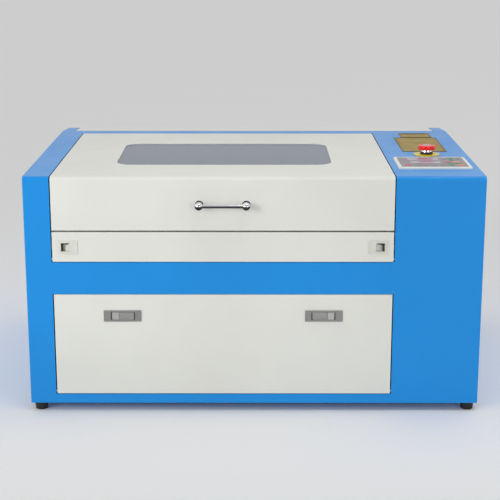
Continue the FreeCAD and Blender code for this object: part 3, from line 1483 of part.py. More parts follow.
x_idler = turn_to_y(pulley(0, 0, 0, 2.58), X_IDLER_X, X_BELT_Y, X_BELT_Z)
save(x_idler, "x_idler")
x_pulley = turn_to_y(pulley(0, 0, 0, 0), X_DRIVE_X, X_BELT_Y, X_BELT_Z)
x_pulley = x_pulley.fuse(
    cyl(MOTOR_SHAFT_R, X_MOTOR_Y0 + 10 - X_BELT_Y, V(X_DRIVE_X, X_BELT_Y, X_BELT_Z), AX_Y)
)
save(x_pulley.removeSplitter(), "x_pulley")
x_motor = stepper(MOTOR_SHAFT_R)
x_motor.rotate(V(0, 0, 0), AX_X, 90)
x_motor.translate(V(X_DRIVE_X, X_MOTOR_Y0, X_BELT_Z))
save(x_motor, "x_motor")
x_loop = belt_loop(PULLEY_R + BELT_FIT, BELT_W, X_IDLER_X, X_DRIVE_X)
x_loop.rotate(V(0, 0, 0), AX_Z, -90)
x_loop.translate(V(0, X_BELT_Y, X_BELT_Z))
save(x_loop, "x_belt")

mirror_2 = mirror_mount(BEAM_X, OPTIC_Y, zz(BEAM_Z), 135.0, BEAM_Z1 + PLATE_T)
save(mirror_2, "mirror_2_mount")

# ---------------------------------------------------------------- carriage and head
CX = CARRIAGE_HOME_X
HALF = CARRIAGE_W / 2.0
RIDE = 0.5
block = box(CX - HALF, CX + HALF, GY - 22, GY + 22, BEAM_Z1 + RIDE, BEAM_Z1 + 20)
block = block.cut(
    box(
        CX - HALF - 1,
        CX + HALF + 1,
        GY - RAIL_W / 2 - RUN_FIT,
        GY + RAIL_W / 2 + RUN_FIT,
        BEAM_Z1 - 1,
        BEAM_Z1 + X_RAIL_H + RUN_FIT,
    )
)
# belt grip, just above the belt's upper run
GRIP_Z0 = X_BELT_Z + PULLEY_R + BELT_FIT + BELT_T + 1.5
block = block.fuse(box(CX - 12, CX + 12, GY + 21, GY + 31, GRIP_Z0, GRIP_Z0 + 6.8))
LENS_R = 11.0
HEAD_Z1 = zz(BEAM_Z) + 16.0
holder_z0 = BEAM_Z0 - 4.0
front_plate = box(CX - 20, CX + 20, GY - 28, GY - 22 + 0.5, holder_z0, HEAD_Z1)
cell_y0 = OPTIC_Y - 16.0
mirror_box = box(CX - 16, CX + 16, cell_y0, GY - 27, zz(BEAM_Z) - 16, HEAD_Z1)
mirror_box = mirror_box.cut(
    prism(
        [
            V(CX - 17, OPTIC_Y - 11, zz(BEAM_Z) - 11),
            V(CX + 9, OPTIC_Y - 11, zz(BEAM_Z) - 11),
            V(CX - 17, OPTIC_Y - 11, zz(BEAM_Z) + 15),
        ],
        V(0, 22, 0),
    )
)
mirror_box = mirror_box.cut(cyl(6.0, 20, V(CX, OPTIC_Y, zz(BEAM_Z) - 20), AX_Z))
holder = box(CX - 17, CX + 17, OPTIC_Y - 17, GY - 27, holder_z0, holder_z0 + 16)
carriage = fuse([block, front_plate, mirror_box, holder])
carriage = carriage.cut(cyl(LENS_R, 60, V(CX, OPTIC_Y, holder_z0 - 20), AX_Z))
save(carriage.removeSplitter(), "head_carriage")
tip = zz(NOZZLE_TIP_Z)
lens = fuse(
    [
        cyl(LENS_R, zz(BEAM_Z) - 16 - (tip + 18), V(CX, OPTIC_Y, tip + 18), AX_Z),
        Part.makeCone(3.5, LENS_R, 18, V(CX, OPTIC_Y, tip), AX_Z),
        cyl(LENS_R + 2.5, 8, V(CX, OPTIC_Y, tip + 20), AX_Z),
        cyl(3.0, LENS_R + 10, V(CX, OPTIC_Y, tip + 12), V(0, -1, 0)),
    ]
)
lens = lens.cut(cyl(2.0, 30, V(CX, OPTIC_Y, tip - 5), AX_Z))
lens = lens.cut(cyl(LENS_R - 3.0, 90, V(CX, OPTIC_Y, tip + 18), AX_Z))
save(lens, "lens_tube")

# ---------------------------------------------------------------- electronics
floor_z = ZB + SHEET
PSU_X0 = DIVIDER_X + DIVIDER_FLANGE + 1.5
psu = box(PSU_X0, PSU_X0 + 120, yy(60), yy(250), floor_z, floor_z + 140)
psu = psu.cut(cyl(36, 6, V(PSU_X0 + 60, yy(60) - 1, floor_z + 70), AX_Y))
for i in range(8):
    y0 = yy(90) + i * 18
    vent = round_box(PSU_X0 + 20, PSU_X0 + 100, y0, y0 + 5, floor_z + 138, floor_z + 145, 2.4, AX_Z)
    psu = psu.cut(vent)
psu = psu.fuse(box(PSU_X0 + 10, PSU_X0 + 110, yy(250), yy(250) + 12, floor_z + 8, floor_z + 22))
save(psu, "laser_power_supply")
dc_x0 = PSU_X0
dc = box(dc_x0, dc_x0 + 100, yy(300), yy(500), floor_z, floor_z + 50)
for i in range(10):
    y0 = yy(320) + i * 14
    dc = dc.cut(round_box(dc_x0 + 10, dc_x0 + 90, y0, y0 + 5, floor_z + 48.5, floor_z + 55, 2.4, AX_Z))
save(dc, "low_voltage_supply")
ctl_x0 = DIVIDER_X + SHEET
ctl = box(ctl_x0, ctl_x0 + 6, yy(280), yy(480), zz(160), zz(300))
ctl = ctl.fuse(box(ctl_x0 + 5, ctl_x0 + 36, yy(290), yy(470), zz(168), zz(292)))
for i in range(6):
    y0 = yy(300) + i * 27
    ctl = ctl.fuse(box(ctl_x0 + 35, ctl_x0 + 44, y0, y0 + 20, zz(172), zz(182)))
save(ctl.removeSplitter(), "control_unit")
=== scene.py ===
import math

import bmesh
import bpy
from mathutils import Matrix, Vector


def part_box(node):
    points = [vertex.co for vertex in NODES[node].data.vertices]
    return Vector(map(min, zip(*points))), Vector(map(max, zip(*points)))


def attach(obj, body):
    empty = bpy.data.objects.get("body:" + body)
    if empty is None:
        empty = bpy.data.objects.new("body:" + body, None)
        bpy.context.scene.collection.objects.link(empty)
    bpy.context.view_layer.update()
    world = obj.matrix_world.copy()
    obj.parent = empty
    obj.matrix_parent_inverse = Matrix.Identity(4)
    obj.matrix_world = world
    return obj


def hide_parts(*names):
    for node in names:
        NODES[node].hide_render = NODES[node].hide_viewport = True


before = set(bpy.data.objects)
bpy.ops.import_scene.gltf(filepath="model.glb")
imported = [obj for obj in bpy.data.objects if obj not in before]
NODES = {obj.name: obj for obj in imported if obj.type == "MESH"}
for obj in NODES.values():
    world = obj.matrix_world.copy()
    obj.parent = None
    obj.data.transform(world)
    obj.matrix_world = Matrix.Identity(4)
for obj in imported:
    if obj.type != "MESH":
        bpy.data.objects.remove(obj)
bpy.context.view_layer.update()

MM = 0.001  # metres in a millimetre


# ------------------------------------------------------------------ colour and node helpers
def lin(r, g, b):
    """sRGB 0-255 to the linear colour that shaders take."""
    out = []
    for c in (r, g, b):
        c = c / 255.0
        out.append(c / 12.92 if c <= 0.04045 else ((c + 0.055) / 1.055) ** 2.4)
    return (out[0], out[1], out[2], 1.0)


def shade(colour, k):
    """The colour made k times as bright."""
    return (min(1.0, colour[0] * k), min(1.0, colour[1] * k), min(1.0, colour[2] * k), 1.0)


class Mat:
    """One procedural material: a principled shader and small helpers to drive it."""

    def __init__(self, name, colour, rough=0.5, metal=0.0):
        self.m = bpy.data.materials.new(name)
        self.m.use_nodes = True
        self.nt = self.m.node_tree
        self.b = self.nt.nodes["Principled BSDF"]
        self.colour = colour
        self.b.inputs["Base Color"].default_value = colour
        self.b.inputs["Roughness"].default_value = rough
        self.b.inputs["Metallic"].default_value = metal
        self.coord = self.nt.nodes.new("ShaderNodeTexCoord").outputs["Object"]
        self.bump = None

    def node(self, kind, **props):
        n = self.nt.nodes.new(kind)
        for key, value in props.items():
            setattr(n, key, value)
        return n

    def link(self, a, b):
        self.nt.links.new(a, b)

    def scaled(self, sx, sy, sz):
        """Object coordinates stretched, for brushed and streaky textures."""
        n = self.node("ShaderNodeMapping")
        n.inputs["Scale"].default_value = (sx, sy, sz)
        self.link(self.coord, n.inputs["Vector"])
        return n.outputs["Vector"]

    def noise(self, scale, detail=3.0, rough=0.5, vector=None):
        n = self.node("ShaderNodeTexNoise")
        n.inputs["Scale"].default_value = scale
        n.inputs["Detail"].default_value = detail
        n.inputs["Roughness"].default_value = rough
        self.link(vector if vector is not None else self.coord, n.inputs["Vector"])
        return n.outputs["Fac"]

    def voronoi(self, scale):
        n = self.node("ShaderNodeTexVoronoi")
        n.inputs["Scale"].default_value = scale
        self.link(self.coord, n.inputs["Vector"])
        return n.outputs["Distance"]

    def spread(self, value, a, b, lo, hi):
        """Maps value from a..b to lo..hi, clamped."""
        n = self.node("ShaderNodeMapRange")
        n.inputs["From Min"].default_value = a
        n.inputs["From Max"].default_value = b
        n.inputs["To Min"].default_value = lo
        n.inputs["To Max"].default_value = hi
        self.link(value, n.inputs["Value"])
        return n.outputs["Result"]

    def mix(self, fac, a, b):
        """Colour mix; a and b are colours or outputs."""
        n = self.node("ShaderNodeMix", data_type="RGBA")
        self.link(fac, n.inputs[0])
        for value, socket in ((a, n.inputs[6]), (b, n.inputs[7])):
            if isinstance(value, tuple):
                socket.default_value = value
            else:
                self.link(value, socket)
        return n.outputs[2]

    def tint(self, fac, k0, k1):
        """Base colour between two shades of the material's own colour."""
        mixed = self.mix(fac, shade(self.colour, k0), shade(self.colour, k1))
        self.link(mixed, self.b.inputs["Base Color"])

    def roughness(self, fac):
        self.link(fac, self.b.inputs["Roughness"])

    def relief(self, height, distance, strength):
        """Adds a bump to those already there; distance is in metres."""
        n = self.node("ShaderNodeBump")
        n.inputs["Strength"].default_value = strength
        n.inputs["Distance"].default_value = distance
        self.link(height, n.inputs["Height"])
        if self.bump is not None:
            self.link(self.bump, n.inputs["Normal"])
        self.bump = n.outputs["Normal"]
        self.link(self.bump, self.b.inputs["Normal"])

    def edge(self, radius):
        """Mask that is high within a radius, in metres, of sharp edges."""
        bevel = self.node("ShaderNodeBevel", samples=4)
        bevel.inputs["Radius"].default_value = radius
        geo = self.node("ShaderNodeNewGeometry")
        dot = self.node("ShaderNodeVectorMath", operation="DOT_PRODUCT")
        self.link(bevel.outputs["Normal"], dot.inputs[0])
        self.link(geo.outputs["Normal"], dot.inputs[1])
        return self.spread(dot.outputs["Value"], 0.98, 0.80, 0.0, 1.0)


def powder(name, colour, rough=(0.30, 0.42), peel=0.00006, coat=0.0, gloss=0.5, rim=(0.0009, 0.0)):
    """Powder-coated sheet steel: orange peel, faint tone drift and dust, duller patches, and edges
    that are lighter within rim[0] metres: worn in patches, and by at least rim[1] of the way all
    along, which is a painted highlight."""
    m = Mat(name, colour, rough=0.36)
    m.b.inputs["Coat Weight"].default_value = coat
    m.b.inputs["Coat Roughness"].default_value = 0.14
    m.b.inputs["Specular IOR Level"].default_value = gloss
    tone = m.noise(3.1, 3.0, 0.55)
    speck = m.noise(900.0, 1.0)
    both = m.mix(m.spread(tone, 0.35, 0.65, 0.0, 1.0), shade(colour, 0.965), shade(colour, 1.03))
    dusty = m.mix(m.spread(speck, 0.66, 0.74, 0.0, 0.35), both, shade(colour, 1.16))
    # edge wear in patches, plus a painted highlight on every edge as strong as rim[1]
    wear_and_highlight = m.spread(m.noise(60.0, 4.0), 0.50, 0.70, rim[1], 0.55 + 0.45 * rim[1])
    edge = m.edge(rim[0])
    gate = m.node("ShaderNodeMath", operation="MULTIPLY")
    m.link(edge, gate.inputs[0])
    m.link(wear_and_highlight, gate.inputs[1])
    m.link(m.mix(gate.outputs[0], dusty, shade(colour, 1.25)), m.b.inputs["Base Color"])
    m.roughness(m.spread(m.noise(9.0, 5.0, 0.6), 0.3, 0.7, rough[0], rough[1]))
    m.relief(m.noise(520.0, 2.0, 0.6), peel, 0.5)
    m.relief(m.noise(4.0, 2.0), 0.0012, 0.12)
    return m.m


def moulded(name, colour, rough=(0.38, 0.52), grain=0.00004):
    """Moulded plastic, rubber or print with a fine grain."""
    m = Mat(name, colour)
    m.tint(m.spread(m.noise(30.0, 4.0), 0.3, 0.7, 0.0, 1.0), 0.93, 1.05)
    m.roughness(m.spread(m.noise(70.0, 4.0), 0.3, 0.7, rough[0], rough[1]))
    m.relief(m.voronoi(1600.0), grain, 0.5)
    return m.m


def metal(name, colour, rough=(0.25, 0.4), brush=(1.0, 1.0, 40.0), scale=60.0):
    """Bare metal with streaks across the direction in which brush is large."""
    m = Mat(name, colour, metal=1.0)
    streak = m.noise(scale, 4.0, 0.6, m.scaled(*brush))
    m.tint(m.spread(streak, 0.3, 0.7, 0.0, 1.0), 0.86, 1.08)
    m.roughness(m.spread(m.noise(24.0, 4.0), 0.3, 0.7, rough[0], rough[1]))
    m.relief(streak, 0.00003, 0.5)
    return m.m


BLUE = powder(
    "blue_powder_coat", (0.005, 0.272, 0.745, 1.0), rough=(0.30, 0.40), coat=0.06, gloss=0.32,
)
# cream panels: rim paints a highlight along every edge, on top of the wear
CREAM = powder(
    "cream_powder_coat", (0.765, 0.77, 0.72, 1.0), rough=(0.34, 0.46), gloss=0.35,
    rim=(0.0024, 0.75),
)
CHROME_COLOUR = (0.86, 0.87, 0.88, 1.0)

smoke = Mat("smoked_acrylic", lin(86, 101, 128), rough=0.07)
smoke.b.inputs["Alpha"].default_value = 0.8
smoke.b.inputs["IOR"].default_value = 1.49
smoke.tint(smoke.spread(smoke.noise(2.0, 2.0), 0.35, 0.65, 0.0, 1.0), 0.95, 1.05)
smoke.roughness(smoke.spread(smoke.noise(35.0, 5.0, 0.7), 0.45, 0.75, 0.05, 0.13))
smoke.relief(smoke.noise(6.0, 1.0), 0.0006, 0.06)
SMOKE = smoke.m

chrome = Mat("polished_chrome", CHROME_COLOUR, metal=1.0)
chrome.tint(chrome.noise(40.0, 2.0), 0.96, 1.02)
chrome.roughness(chrome.spread(chrome.noise(140.0, 5.0, 0.7), 0.4, 0.75, 0.035, 0.12))
CHROME = chrome.m

# the pull: the same plating, with a dark reflection painted into its colour where it faces down
PAINTED_REFLECTION_DARK = (0.03, 0.03, 0.033, 1.0)
PAINTED_REFLECTION_LIGHT = (0.07, 0.07, 0.075, 1.0)
pull = Mat("pull_chrome", CHROME_COLOUR, metal=1.0)
facing = pull.node("ShaderNodeNewGeometry")
split = pull.node("ShaderNodeSeparateXYZ")
pull.link(facing.outputs["Normal"], split.inputs["Vector"])
# painted reflection: faces that look down or lie level take the dark colour in place of chrome
under = pull.spread(split.outputs["Z"], -0.02, 0.20, 0.0, 1.0)
painted_reflection = pull.mix(pull.spread(pull.noise(60.0, 3.0), 0.3, 0.7, 0.0, 1.0), PAINTED_REFLECTION_DARK, PAINTED_REFLECTION_LIGHT)
pull.link(pull.mix(under, painted_reflection, CHROME_COLOUR), pull.b.inputs["Base Color"])
pull.roughness(pull.spread(pull.noise(140.0, 5.0, 0.7), 0.4, 0.75, 0.04, 0.12))
PULL = pull.m

ZINC = metal("satin_zinc", (0.36, 0.355, 0.345, 1.0), (0.34, 0.48), (1.0, 1.0, 1.0), 300.0)
# the paddles, and the triggers more, are lighter copies of the latch zinc: a painted highlight
PADDLE = metal("brushed_zinc", (0.44, 0.435, 0.425, 1.0), (0.22, 0.34), (1.0, 1.0, 30.0), 120.0)
TRIGGER = metal("painted_highlight_zinc", (0.62, 0.61, 0.60, 1.0), (0.24, 0.36), (1.0, 1.0, 30.0), 160.0)
STEEL = metal("bare_steel", (0.52, 0.52, 0.53, 1.0), (0.25, 0.38), (30.0, 1.0, 1.0))
ALU = metal("anodised_aluminium", (0.66, 0.67, 0.69, 1.0), (0.30, 0.42), (0.6, 30.0, 30.0))
BLACK_ALU = metal("black_anodised", (0.035, 0.035, 0.038, 1.0), (0.34, 0.46), (1.0, 1.0, 1.0), 300.0)
BRASS = metal("turned_brass", (0.78, 0.56, 0.24, 1.0), (0.2, 0.32), (1.0, 1.0, 30.0))

galv = Mat("galvanised_sheet", (0.50, 0.52, 0.54, 1.0), metal=1.0)
galv.tint(galv.spread(galv.voronoi(90.0), 0.1, 0.6, 0.0, 1.0), 0.92, 1.06)
galv.roughness(galv.spread(galv.voronoi(90.0), 0.1, 0.7, 0.38, 0.48))
galv.relief(galv.noise(200.0, 2.0), 0.00003, 0.5)
GALV = galv.m

gold = Mat("gold_plate", lin(158, 131, 22), rough=0.46, metal=0.3)
gold.b.inputs["Specular IOR Level"].default_value = 0.3
brushed = gold.noise(25.0, 5.0, 0.6, gold.scaled(1.0, 14.0, 1.0))
gold.tint(gold.spread(brushed, 0.3, 0.7, 0.0, 1.0), 0.86, 1.08)
gold.roughness(gold.spread(gold.noise(40.0, 4.0), 0.3, 0.7, 0.36, 0.52))
gold.relief(gold.noise(300.0, 2.0, 0.5, gold.scaled(1.0, 10.0, 1.0)), 0.00002, 0.5)
GOLD = gold.m

RUBBER = moulded("black_rubber", (0.012, 0.012, 0.013, 1.0), (0.55, 0.75), 0.00008)
BELT = moulded("belt_rubber", (0.02, 0.02, 0.02, 1.0), (0.6, 0.75), 0.00006)
CREAM_PLASTIC = moulded("cream_plastic", lin(218, 218, 208))
WHITE_PLASTIC = moulded("white_plastic", lin(226, 230, 222), (0.28, 0.40))
BLACK_PLASTIC = moulded("black_plastic", (0.016, 0.016, 0.018, 1.0))
YELLOW = moulded("yellow_plastic", lin(238, 214, 30), (0.30, 0.42))
RED = moulded("red_plastic", lin(255, 20, 14), (0.20, 0.30), 0.00002)
OVERLAY = moulded("printed_membrane", lin(140, 129, 138), (0.34, 0.46), 0.00002)
BOARD = moulded("grey_box", (0.06, 0.065, 0.07, 1.0))

glass = Mat("tube_glass", (0.86, 0.92, 0.93, 1.0), rough=0.03)
glass.b.inputs["Alpha"].default_value = 0.28
glass.b.inputs["IOR"].default_value = 1.47
glass.tint(glass.noise(8.0, 2.0), 0.96, 1.03)
glass.roughness(glass.spread(glass.noise(20.0, 3.0), 0.4, 0.7, 0.02, 0.08))
GLASS = glass.m

FOIL = metal("honeycomb_foil", (0.60, 0.61, 0.62, 1.0), (0.32, 0.46), (30.0, 30.0, 1.0), 60.0)
THREAD = metal("screw_steel", (0.50, 0.50, 0.51, 1.0), (0.24, 0.36), (1.0, 1.0, 30.0))
PRINT = ((0.30, 0.42), 0.00002)  # roughness and grain of the printed keys
KEY_RED = moulded("key_print_red", lin(206, 44, 78), *PRINT)
KEY_GREEN = moulded("key_print_green", lin(36, 142, 92), *PRINT)
KEY_ORANGE = moulded("key_print_orange", lin(238, 142, 84), *PRINT)
KEY_GREY = moulded("key_print_grey", lin(112, 142, 128), *PRINT)
DISPLAY = moulded("display_lens", lin(186, 180, 194), (0.10, 0.18), 0.000008)
DISPLAY_LINE = moulded("display_line", lin(196, 84, 132), (0.12, 0.22), 0.000008)
CAP_GREY = moulded("cap_centre", lin(176, 172, 174), (0.26, 0.38), 0.00002)
CAP_PRINT = moulded("cap_print", lin(150, 20, 18), (0.34, 0.46), 0.00002)
LABEL_LINE = metal("engraved_line", (0.10, 0.085, 0.03, 1.0), (0.40, 0.55), (1.0, 12.0, 1.0), 60.0)
COPPER = metal("electrode_copper", (0.72, 0.44, 0.30, 1.0), (0.24, 0.38), (1.0, 30.0, 30.0))

LOOK = {
    "front_top_shell": BLUE, "body_tub": BLUE, "rear_panel": BLUE,
    "chamber_divider": GALV, "rear_bulkhead": GALV, "feet": RUBBER, "pivot_blocks": STEEL,
    "label_plates": GOLD, "keypad_bezel": WHITE_PLASTIC, "keypad_membrane": OVERLAY,
    "estop_plate": YELLOW, "estop_body": BLACK_PLASTIC, "power_module": BLACK_PLASTIC,
    "exhaust_fan_housing": BLACK_PLASTIC, "hose_fittings": BRASS, "laser_tube": GLASS,
    "tube_mounts": BLACK_PLASTIC, "mirror_1_mount": ALU, "y_rails": ALU, "y_belts": BELT,
    "stepper_motors": BLACK_ALU, "laser_power_supply": GALV, "low_voltage_supply": GALV,
    "control_unit": BOARD, "lid_shell": CREAM, "lid_window": SMOKE, "lid_handle": PULL,
    "strut_cylinder_left": BLACK_ALU, "strut_cylinder_right": BLACK_ALU,
    "strut_rod_left": CHROME, "strut_rod_right": CHROME,
    "flap_panel": CREAM, "flap_latch_housings": CREAM_PLASTIC,
    "flap_slider_left": CREAM_PLASTIC, "flap_slider_right": CREAM_PLASTIC,
    "door_panel": CREAM, "door_latch_housings": ZINC, "door_paddle_left": PADDLE,
    "door_paddle_right": PADDLE, "door_trigger_left": TRIGGER, "door_trigger_right": TRIGGER,
    "tube_cover": CREAM, "estop_stem": STEEL, "estop_cap": RED,
    "x_gantry": ALU, "x_belt": BELT, "x_motor": BLACK_ALU, "mirror_2_mount": ALU,
    "head_carriage": BLACK_ALU, "lens_tube": BRASS, "x_pulley": ALU, "x_idler": ALU,
    "y_drive_shaft": STEEL, "y_idlers": ALU, "table_frame": ALU, "honeycomb_bed": FOIL,
    "lift_screw_left": STEEL, "lift_screw_right": STEEL, "fan_rotor": BLACK_PLASTIC,
    "power_rocker": RED,
}
for node_name, look in LOOK.items():
    mesh = NODES[node_name].data
    mesh.materials.clear()
    mesh.materials.append(look)

# ------------------------------------------------------------------ pieces
SOFT_ANGLE = math.radians(40)
UP = (0, 0, 1)
BACK = (0, 1, 0)
RIGHT = (1, 0, 0)


def corners(node):
    """Low and high corner of a CAD node, in millimetres."""
    low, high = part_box(node)
    return [c / MM for c in low], [c / MM for c in high]


def build(name, verts, faces, material, body, soft=False):
    """One mesh piece from millimetre vertices, riding on a body; soft smooths all but its edges."""
    mesh = bpy.data.meshes.new(name)
    mesh.from_pydata([(x * MM, y * MM, z * MM) for x, y, z in verts], [], faces)
    mesh.materials.append(material)
    bm = bmesh.new()
    bm.from_mesh(mesh)
    bmesh.ops.recalc_face_normals(bm, faces=bm.faces)
    bm.to_mesh(mesh)
    bm.free()
    if soft:
        mesh.shade_smooth()
        mesh.set_sharp_from_angle(angle=SOFT_ANGLE)
    obj = bpy.data.objects.new(name, mesh)
    bpy.context.scene.collection.objects.link(obj)
    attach(obj, body)
    return obj


def skin(rows, seg, closed=False):
    """Faces over rows of seg points each: closed joins the last row to the first, or else both
    ends are capped.
    """
    faces = []
    for j in range(rows if closed else rows - 1):
        k = (j + 1) % rows
        for i in range(seg):
            m = (i + 1) % seg
            faces.append((j * seg + i, j * seg + m, k * seg + m, k * seg + i))
    if not closed:
        faces.append(tuple(range(seg)))
        faces.append(tuple((rows - 1) * seg + i for i in range(seg)))
    return faces


class Shape:
    """A growing list of vertices and faces."""

    def __init__(self):
        self.v = []
        self.f = []

    def add(self, verts, faces):
        base = len(self.v)
        self.v.extend(verts)
        self.f.extend([tuple(base + i for i in face) for face in faces])

    def lathe(self, centre, axis, profile, seg=32, closed=False):
        """Revolves (radius, height) points about an axis through centre."""
        n = Vector(axis).normalized()
        u = n.orthogonal().normalized()
        w = n.cross(u)
        c = Vector(centre)
        verts = []
        for r, h in profile:
            for i in range(seg):
                t = 2 * math.pi * i / seg
                verts.append(tuple(c + n * h + (u * math.cos(t) + w * math.sin(t)) * r))
        self.add(verts, skin(len(profile), seg, closed))

    def pad(self, outline, z0, z1, chamfer=0.2):
        """A plate from z0 to z1 with a chamfered top edge; outline is convex or star-shaped."""
        n = len(outline)
        cx = sum(p[0] for p in outline) / n
        cy = sum(p[1] for p in outline) / n
        size = max(max(abs(p[0] - cx), abs(p[1] - cy)) for p in outline)
        k = 1.0 - chamfer / size
        rings = [(1.0, z0), (1.0, z1 - chamfer * 0.6), (k, z1)]
        verts = [(cx + (x - cx) * s, cy + (y - cy) * s, z) for s, z in rings for x, y in outline]
        self.add(verts, skin(len(rings), n))

    def border(self, outer, inner, z0, z1):
        """A raised frame between two rings of equal length."""
        n = len(outer)
        verts = [(x, y, z) for z in (z0, z1) for ring in (outer, inner) for x, y in ring]
        faces = []
        for i in range(n):
            m = (i + 1) % n
            faces.append((i, m, 2 * n + m, 2 * n + i))
            faces.append((n + i, n + m, 3 * n + m, 3 * n + i))
            faces.append((2 * n + i, 2 * n + m, 3 * n + m, 3 * n + i))
            faces.append((i, m, n + m, n + i))
        self.add(verts, faces)

    def rod(self, a, b, r, seg=10):
        """A round bar from a to b with chamfered ends."""
        a = Vector(a)
        b = Vector(b)
        length = (b - a).length
        profile = [(r * 0.7, 0), (r, r * 0.3), (r, length - r * 0.3), (r * 0.7, length)]
        self.lathe(a, b - a, profile, seg)

    def ring(self, centre, axis, radius, r, seg=48, around=8):
        """A round wire of radius r bent into a circle."""
        turns = [2 * math.pi * i / around for i in range(around)]
        profile = [(radius + r * math.cos(t), r * math.sin(t)) for t in turns]
        self.lathe(centre, axis, profile, seg, closed=True)

    def sweep(self, path, r, seg=8):
        """A round tube along a path of points, closed at both ends."""
        points = [Vector(p) for p in path]
        last = len(points) - 1
        side = (points[1] - points[0]).orthogonal().normalized()
        verts = []
        for i, p in enumerate(points):
            along = (points[min(i + 1, last)] - points[max(i - 1, 0)]).normalized()
            side = (side - along * side.dot(along)).normalized()
            up = along.cross(side)
            for k in range(seg):
                t = 2 * math.pi * k / seg
                verts.append(tuple(p + (side * math.cos(t) + up * math.sin(t)) * r))
        self.add(verts, skin(len(points), seg))

    def button_screw(self, centre, axis, r, seg=24):
        """Button-head screw with a hexagon socket."""
        n = Vector(axis).normalized()
        u = n.orthogonal().normalized()
        w = n.cross(u)
        c = Vector(centre)
        # (radius, height) over r, from the floor of the socket outwards; None is a hexagon
        rows = [(0.02, 0.16), (None, 0.16), (None, 0.60), (0.62, 0.56), (0.85, 0.40), (1.0, 0.12),
                (1.0, 0.0)]
        socket = r * 0.36
        verts = []
        for k, h in rows:
            for i in range(seg):
                t = 2 * math.pi * i / seg
                part = (t % (math.pi / 3)) - math.pi / 6
                size = socket / math.cos(part) if k is None else r * k
                rim_point = (u * math.cos(t) + w * math.sin(t)) * size
                verts.append(tuple(c + n * (h * r) + rim_point))
        self.add(verts, skin(len(rows), seg))

    def make(self, name, material, body, soft=False):
        return build(name, self.v, self.f, material, body, soft)


def rounded(cx, cy, w, d, r, steps=4):
    """Outline of a rounded rectangle, anticlockwise."""
    points = []
    for sx, sy, start in ((1, -1, -90), (1, 1, 0), (-1, 1, 90), (-1, -1, 180)):
        for i in range(steps + 1):
            t = math.radians(start + 90.0 * i / steps)
            points.append((
                cx + sx * (w / 2 - r) + r * math.cos(t),
                cy + sy * (d / 2 - r) + r * math.sin(t),
            ))
    return points


# control panel: keys, arrows and two displays on the membrane; places on it are shares of its size
pan_lo, pan_hi = corners("keypad_membrane")
PAN_W = pan_hi[0] - pan_lo[0]
PAN_D = pan_hi[1] - pan_lo[1]
PAN_TOP = pan_hi[2]
PAN_LOW = PAN_TOP - 0.05  # where its prints start, just inside the membrane
KEY_W = 15.0
KEY_D = 9.0
KEY_CORNER = 2.6
KEY_TOP = PAN_TOP + 0.6


def on_pan(u, v):
    return pan_lo[0] + u * PAN_W, pan_lo[1] + v * PAN_D


KEYS = {
    "keys_red": (KEY_RED, [(0.109, 0.20), (0.746, 0.52)]),
    "keys_grey": (KEY_GREY, [(0.239, 0.20), (0.373, 0.20), (0.502, 0.20), (0.632, 0.20)]),
    "keys_green": (KEY_GREEN, [(0.757, 0.20), (0.77, 0.355), (0.885, 0.355)]),
    "keys_orange": (KEY_ORANGE, [(0.90, 0.20), (0.876, 0.52)]),
}
for key_name, (key_look, spots) in KEYS.items():
    keys = Shape()
    for u, v in spots:
        x, y = on_pan(u, v)
        keys.pad(rounded(x, y, KEY_W, KEY_D, KEY_CORNER), PAN_LOW, KEY_TOP, 0.7)
    keys.make(key_name, key_look, "frame", soft=True)

# four arrows about a middle key; the outline is (along, across) the way each one points
ARROW_REACH_X = 14.5
ARROW_REACH_Y = 11.5
ARROW = [(6.5, 0), (0, 6.5), (0, 2.6), (-3.5, 2.6), (-3.5, -2.6), (0, -2.6), (0, -6.5)]
ARROW_CHAMFER = 0.5
arrows = Shape()
ax, ay = on_pan(0.815, 0.81)
for dx, dy in ((1, 0), (0, 1), (-1, 0), (0, -1)):
    reach = ARROW_REACH_X if dx else ARROW_REACH_Y
    cx = ax + dx * reach
    cy = ay + dy * reach
    outline = [(cx + dx * a - dy * c, cy + dy * a + dx * c) for a, c in ARROW]
    arrows.pad(outline, PAN_LOW, KEY_TOP, ARROW_CHAMFER)
arrows.pad(rounded(ax, ay, 8.0, 6.0, 2.2), PAN_LOW, KEY_TOP, ARROW_CHAMFER)
arrows.make("keys_arrows", KEY_GREEN, "frame")

DISPLAYS = [(0.385, 0.85, 68.0, 23.0), (0.40, 0.52, 66.0, 25.0)]  # place, width and depth
# height in the display, share of its width and thickness of each plain line on it
DISPLAY_ROWS = ((0.30, 0.62, 0.9), (0.0, 0.50, 3.0), (-0.30, 0.62, 0.9))
lens = Shape()
lines = Shape()
frames = Shape()
for u, v, w, d in DISPLAYS:
    x, y = on_pan(u, v)
    lens.pad(rounded(x, y, w, d, 2.0), PAN_LOW, PAN_TOP + 0.35, 0.3)
    frames.border(
        rounded(x, y, w + 2.4, d + 2.4, 3.0), rounded(x, y, w + 0.4, d + 0.4, 2.1),
        PAN_LOW, PAN_TOP + 0.5,
    )
    for row, part, thick in DISPLAY_ROWS:
        line = rounded(x + w * 0.04, y + d * row, w * part, thick, 0.4)
        lines.pad(line, PAN_TOP + 0.30, PAN_TOP + 0.42, 0.1)
lens.make("display_lenses", DISPLAY, "frame", soft=True)
lines.make("display_lines", DISPLAY_LINE, "frame")
frames.make("display_frames", DISPLAY, "frame")

# name plates: a plain raised rim, a fine line and a bar, no lettering
PLATES = ((353.0, 459.0, -61.5, 144.0), (372.0, 450.0, 147.0, 213.0))  # x0, x1, y0, y1
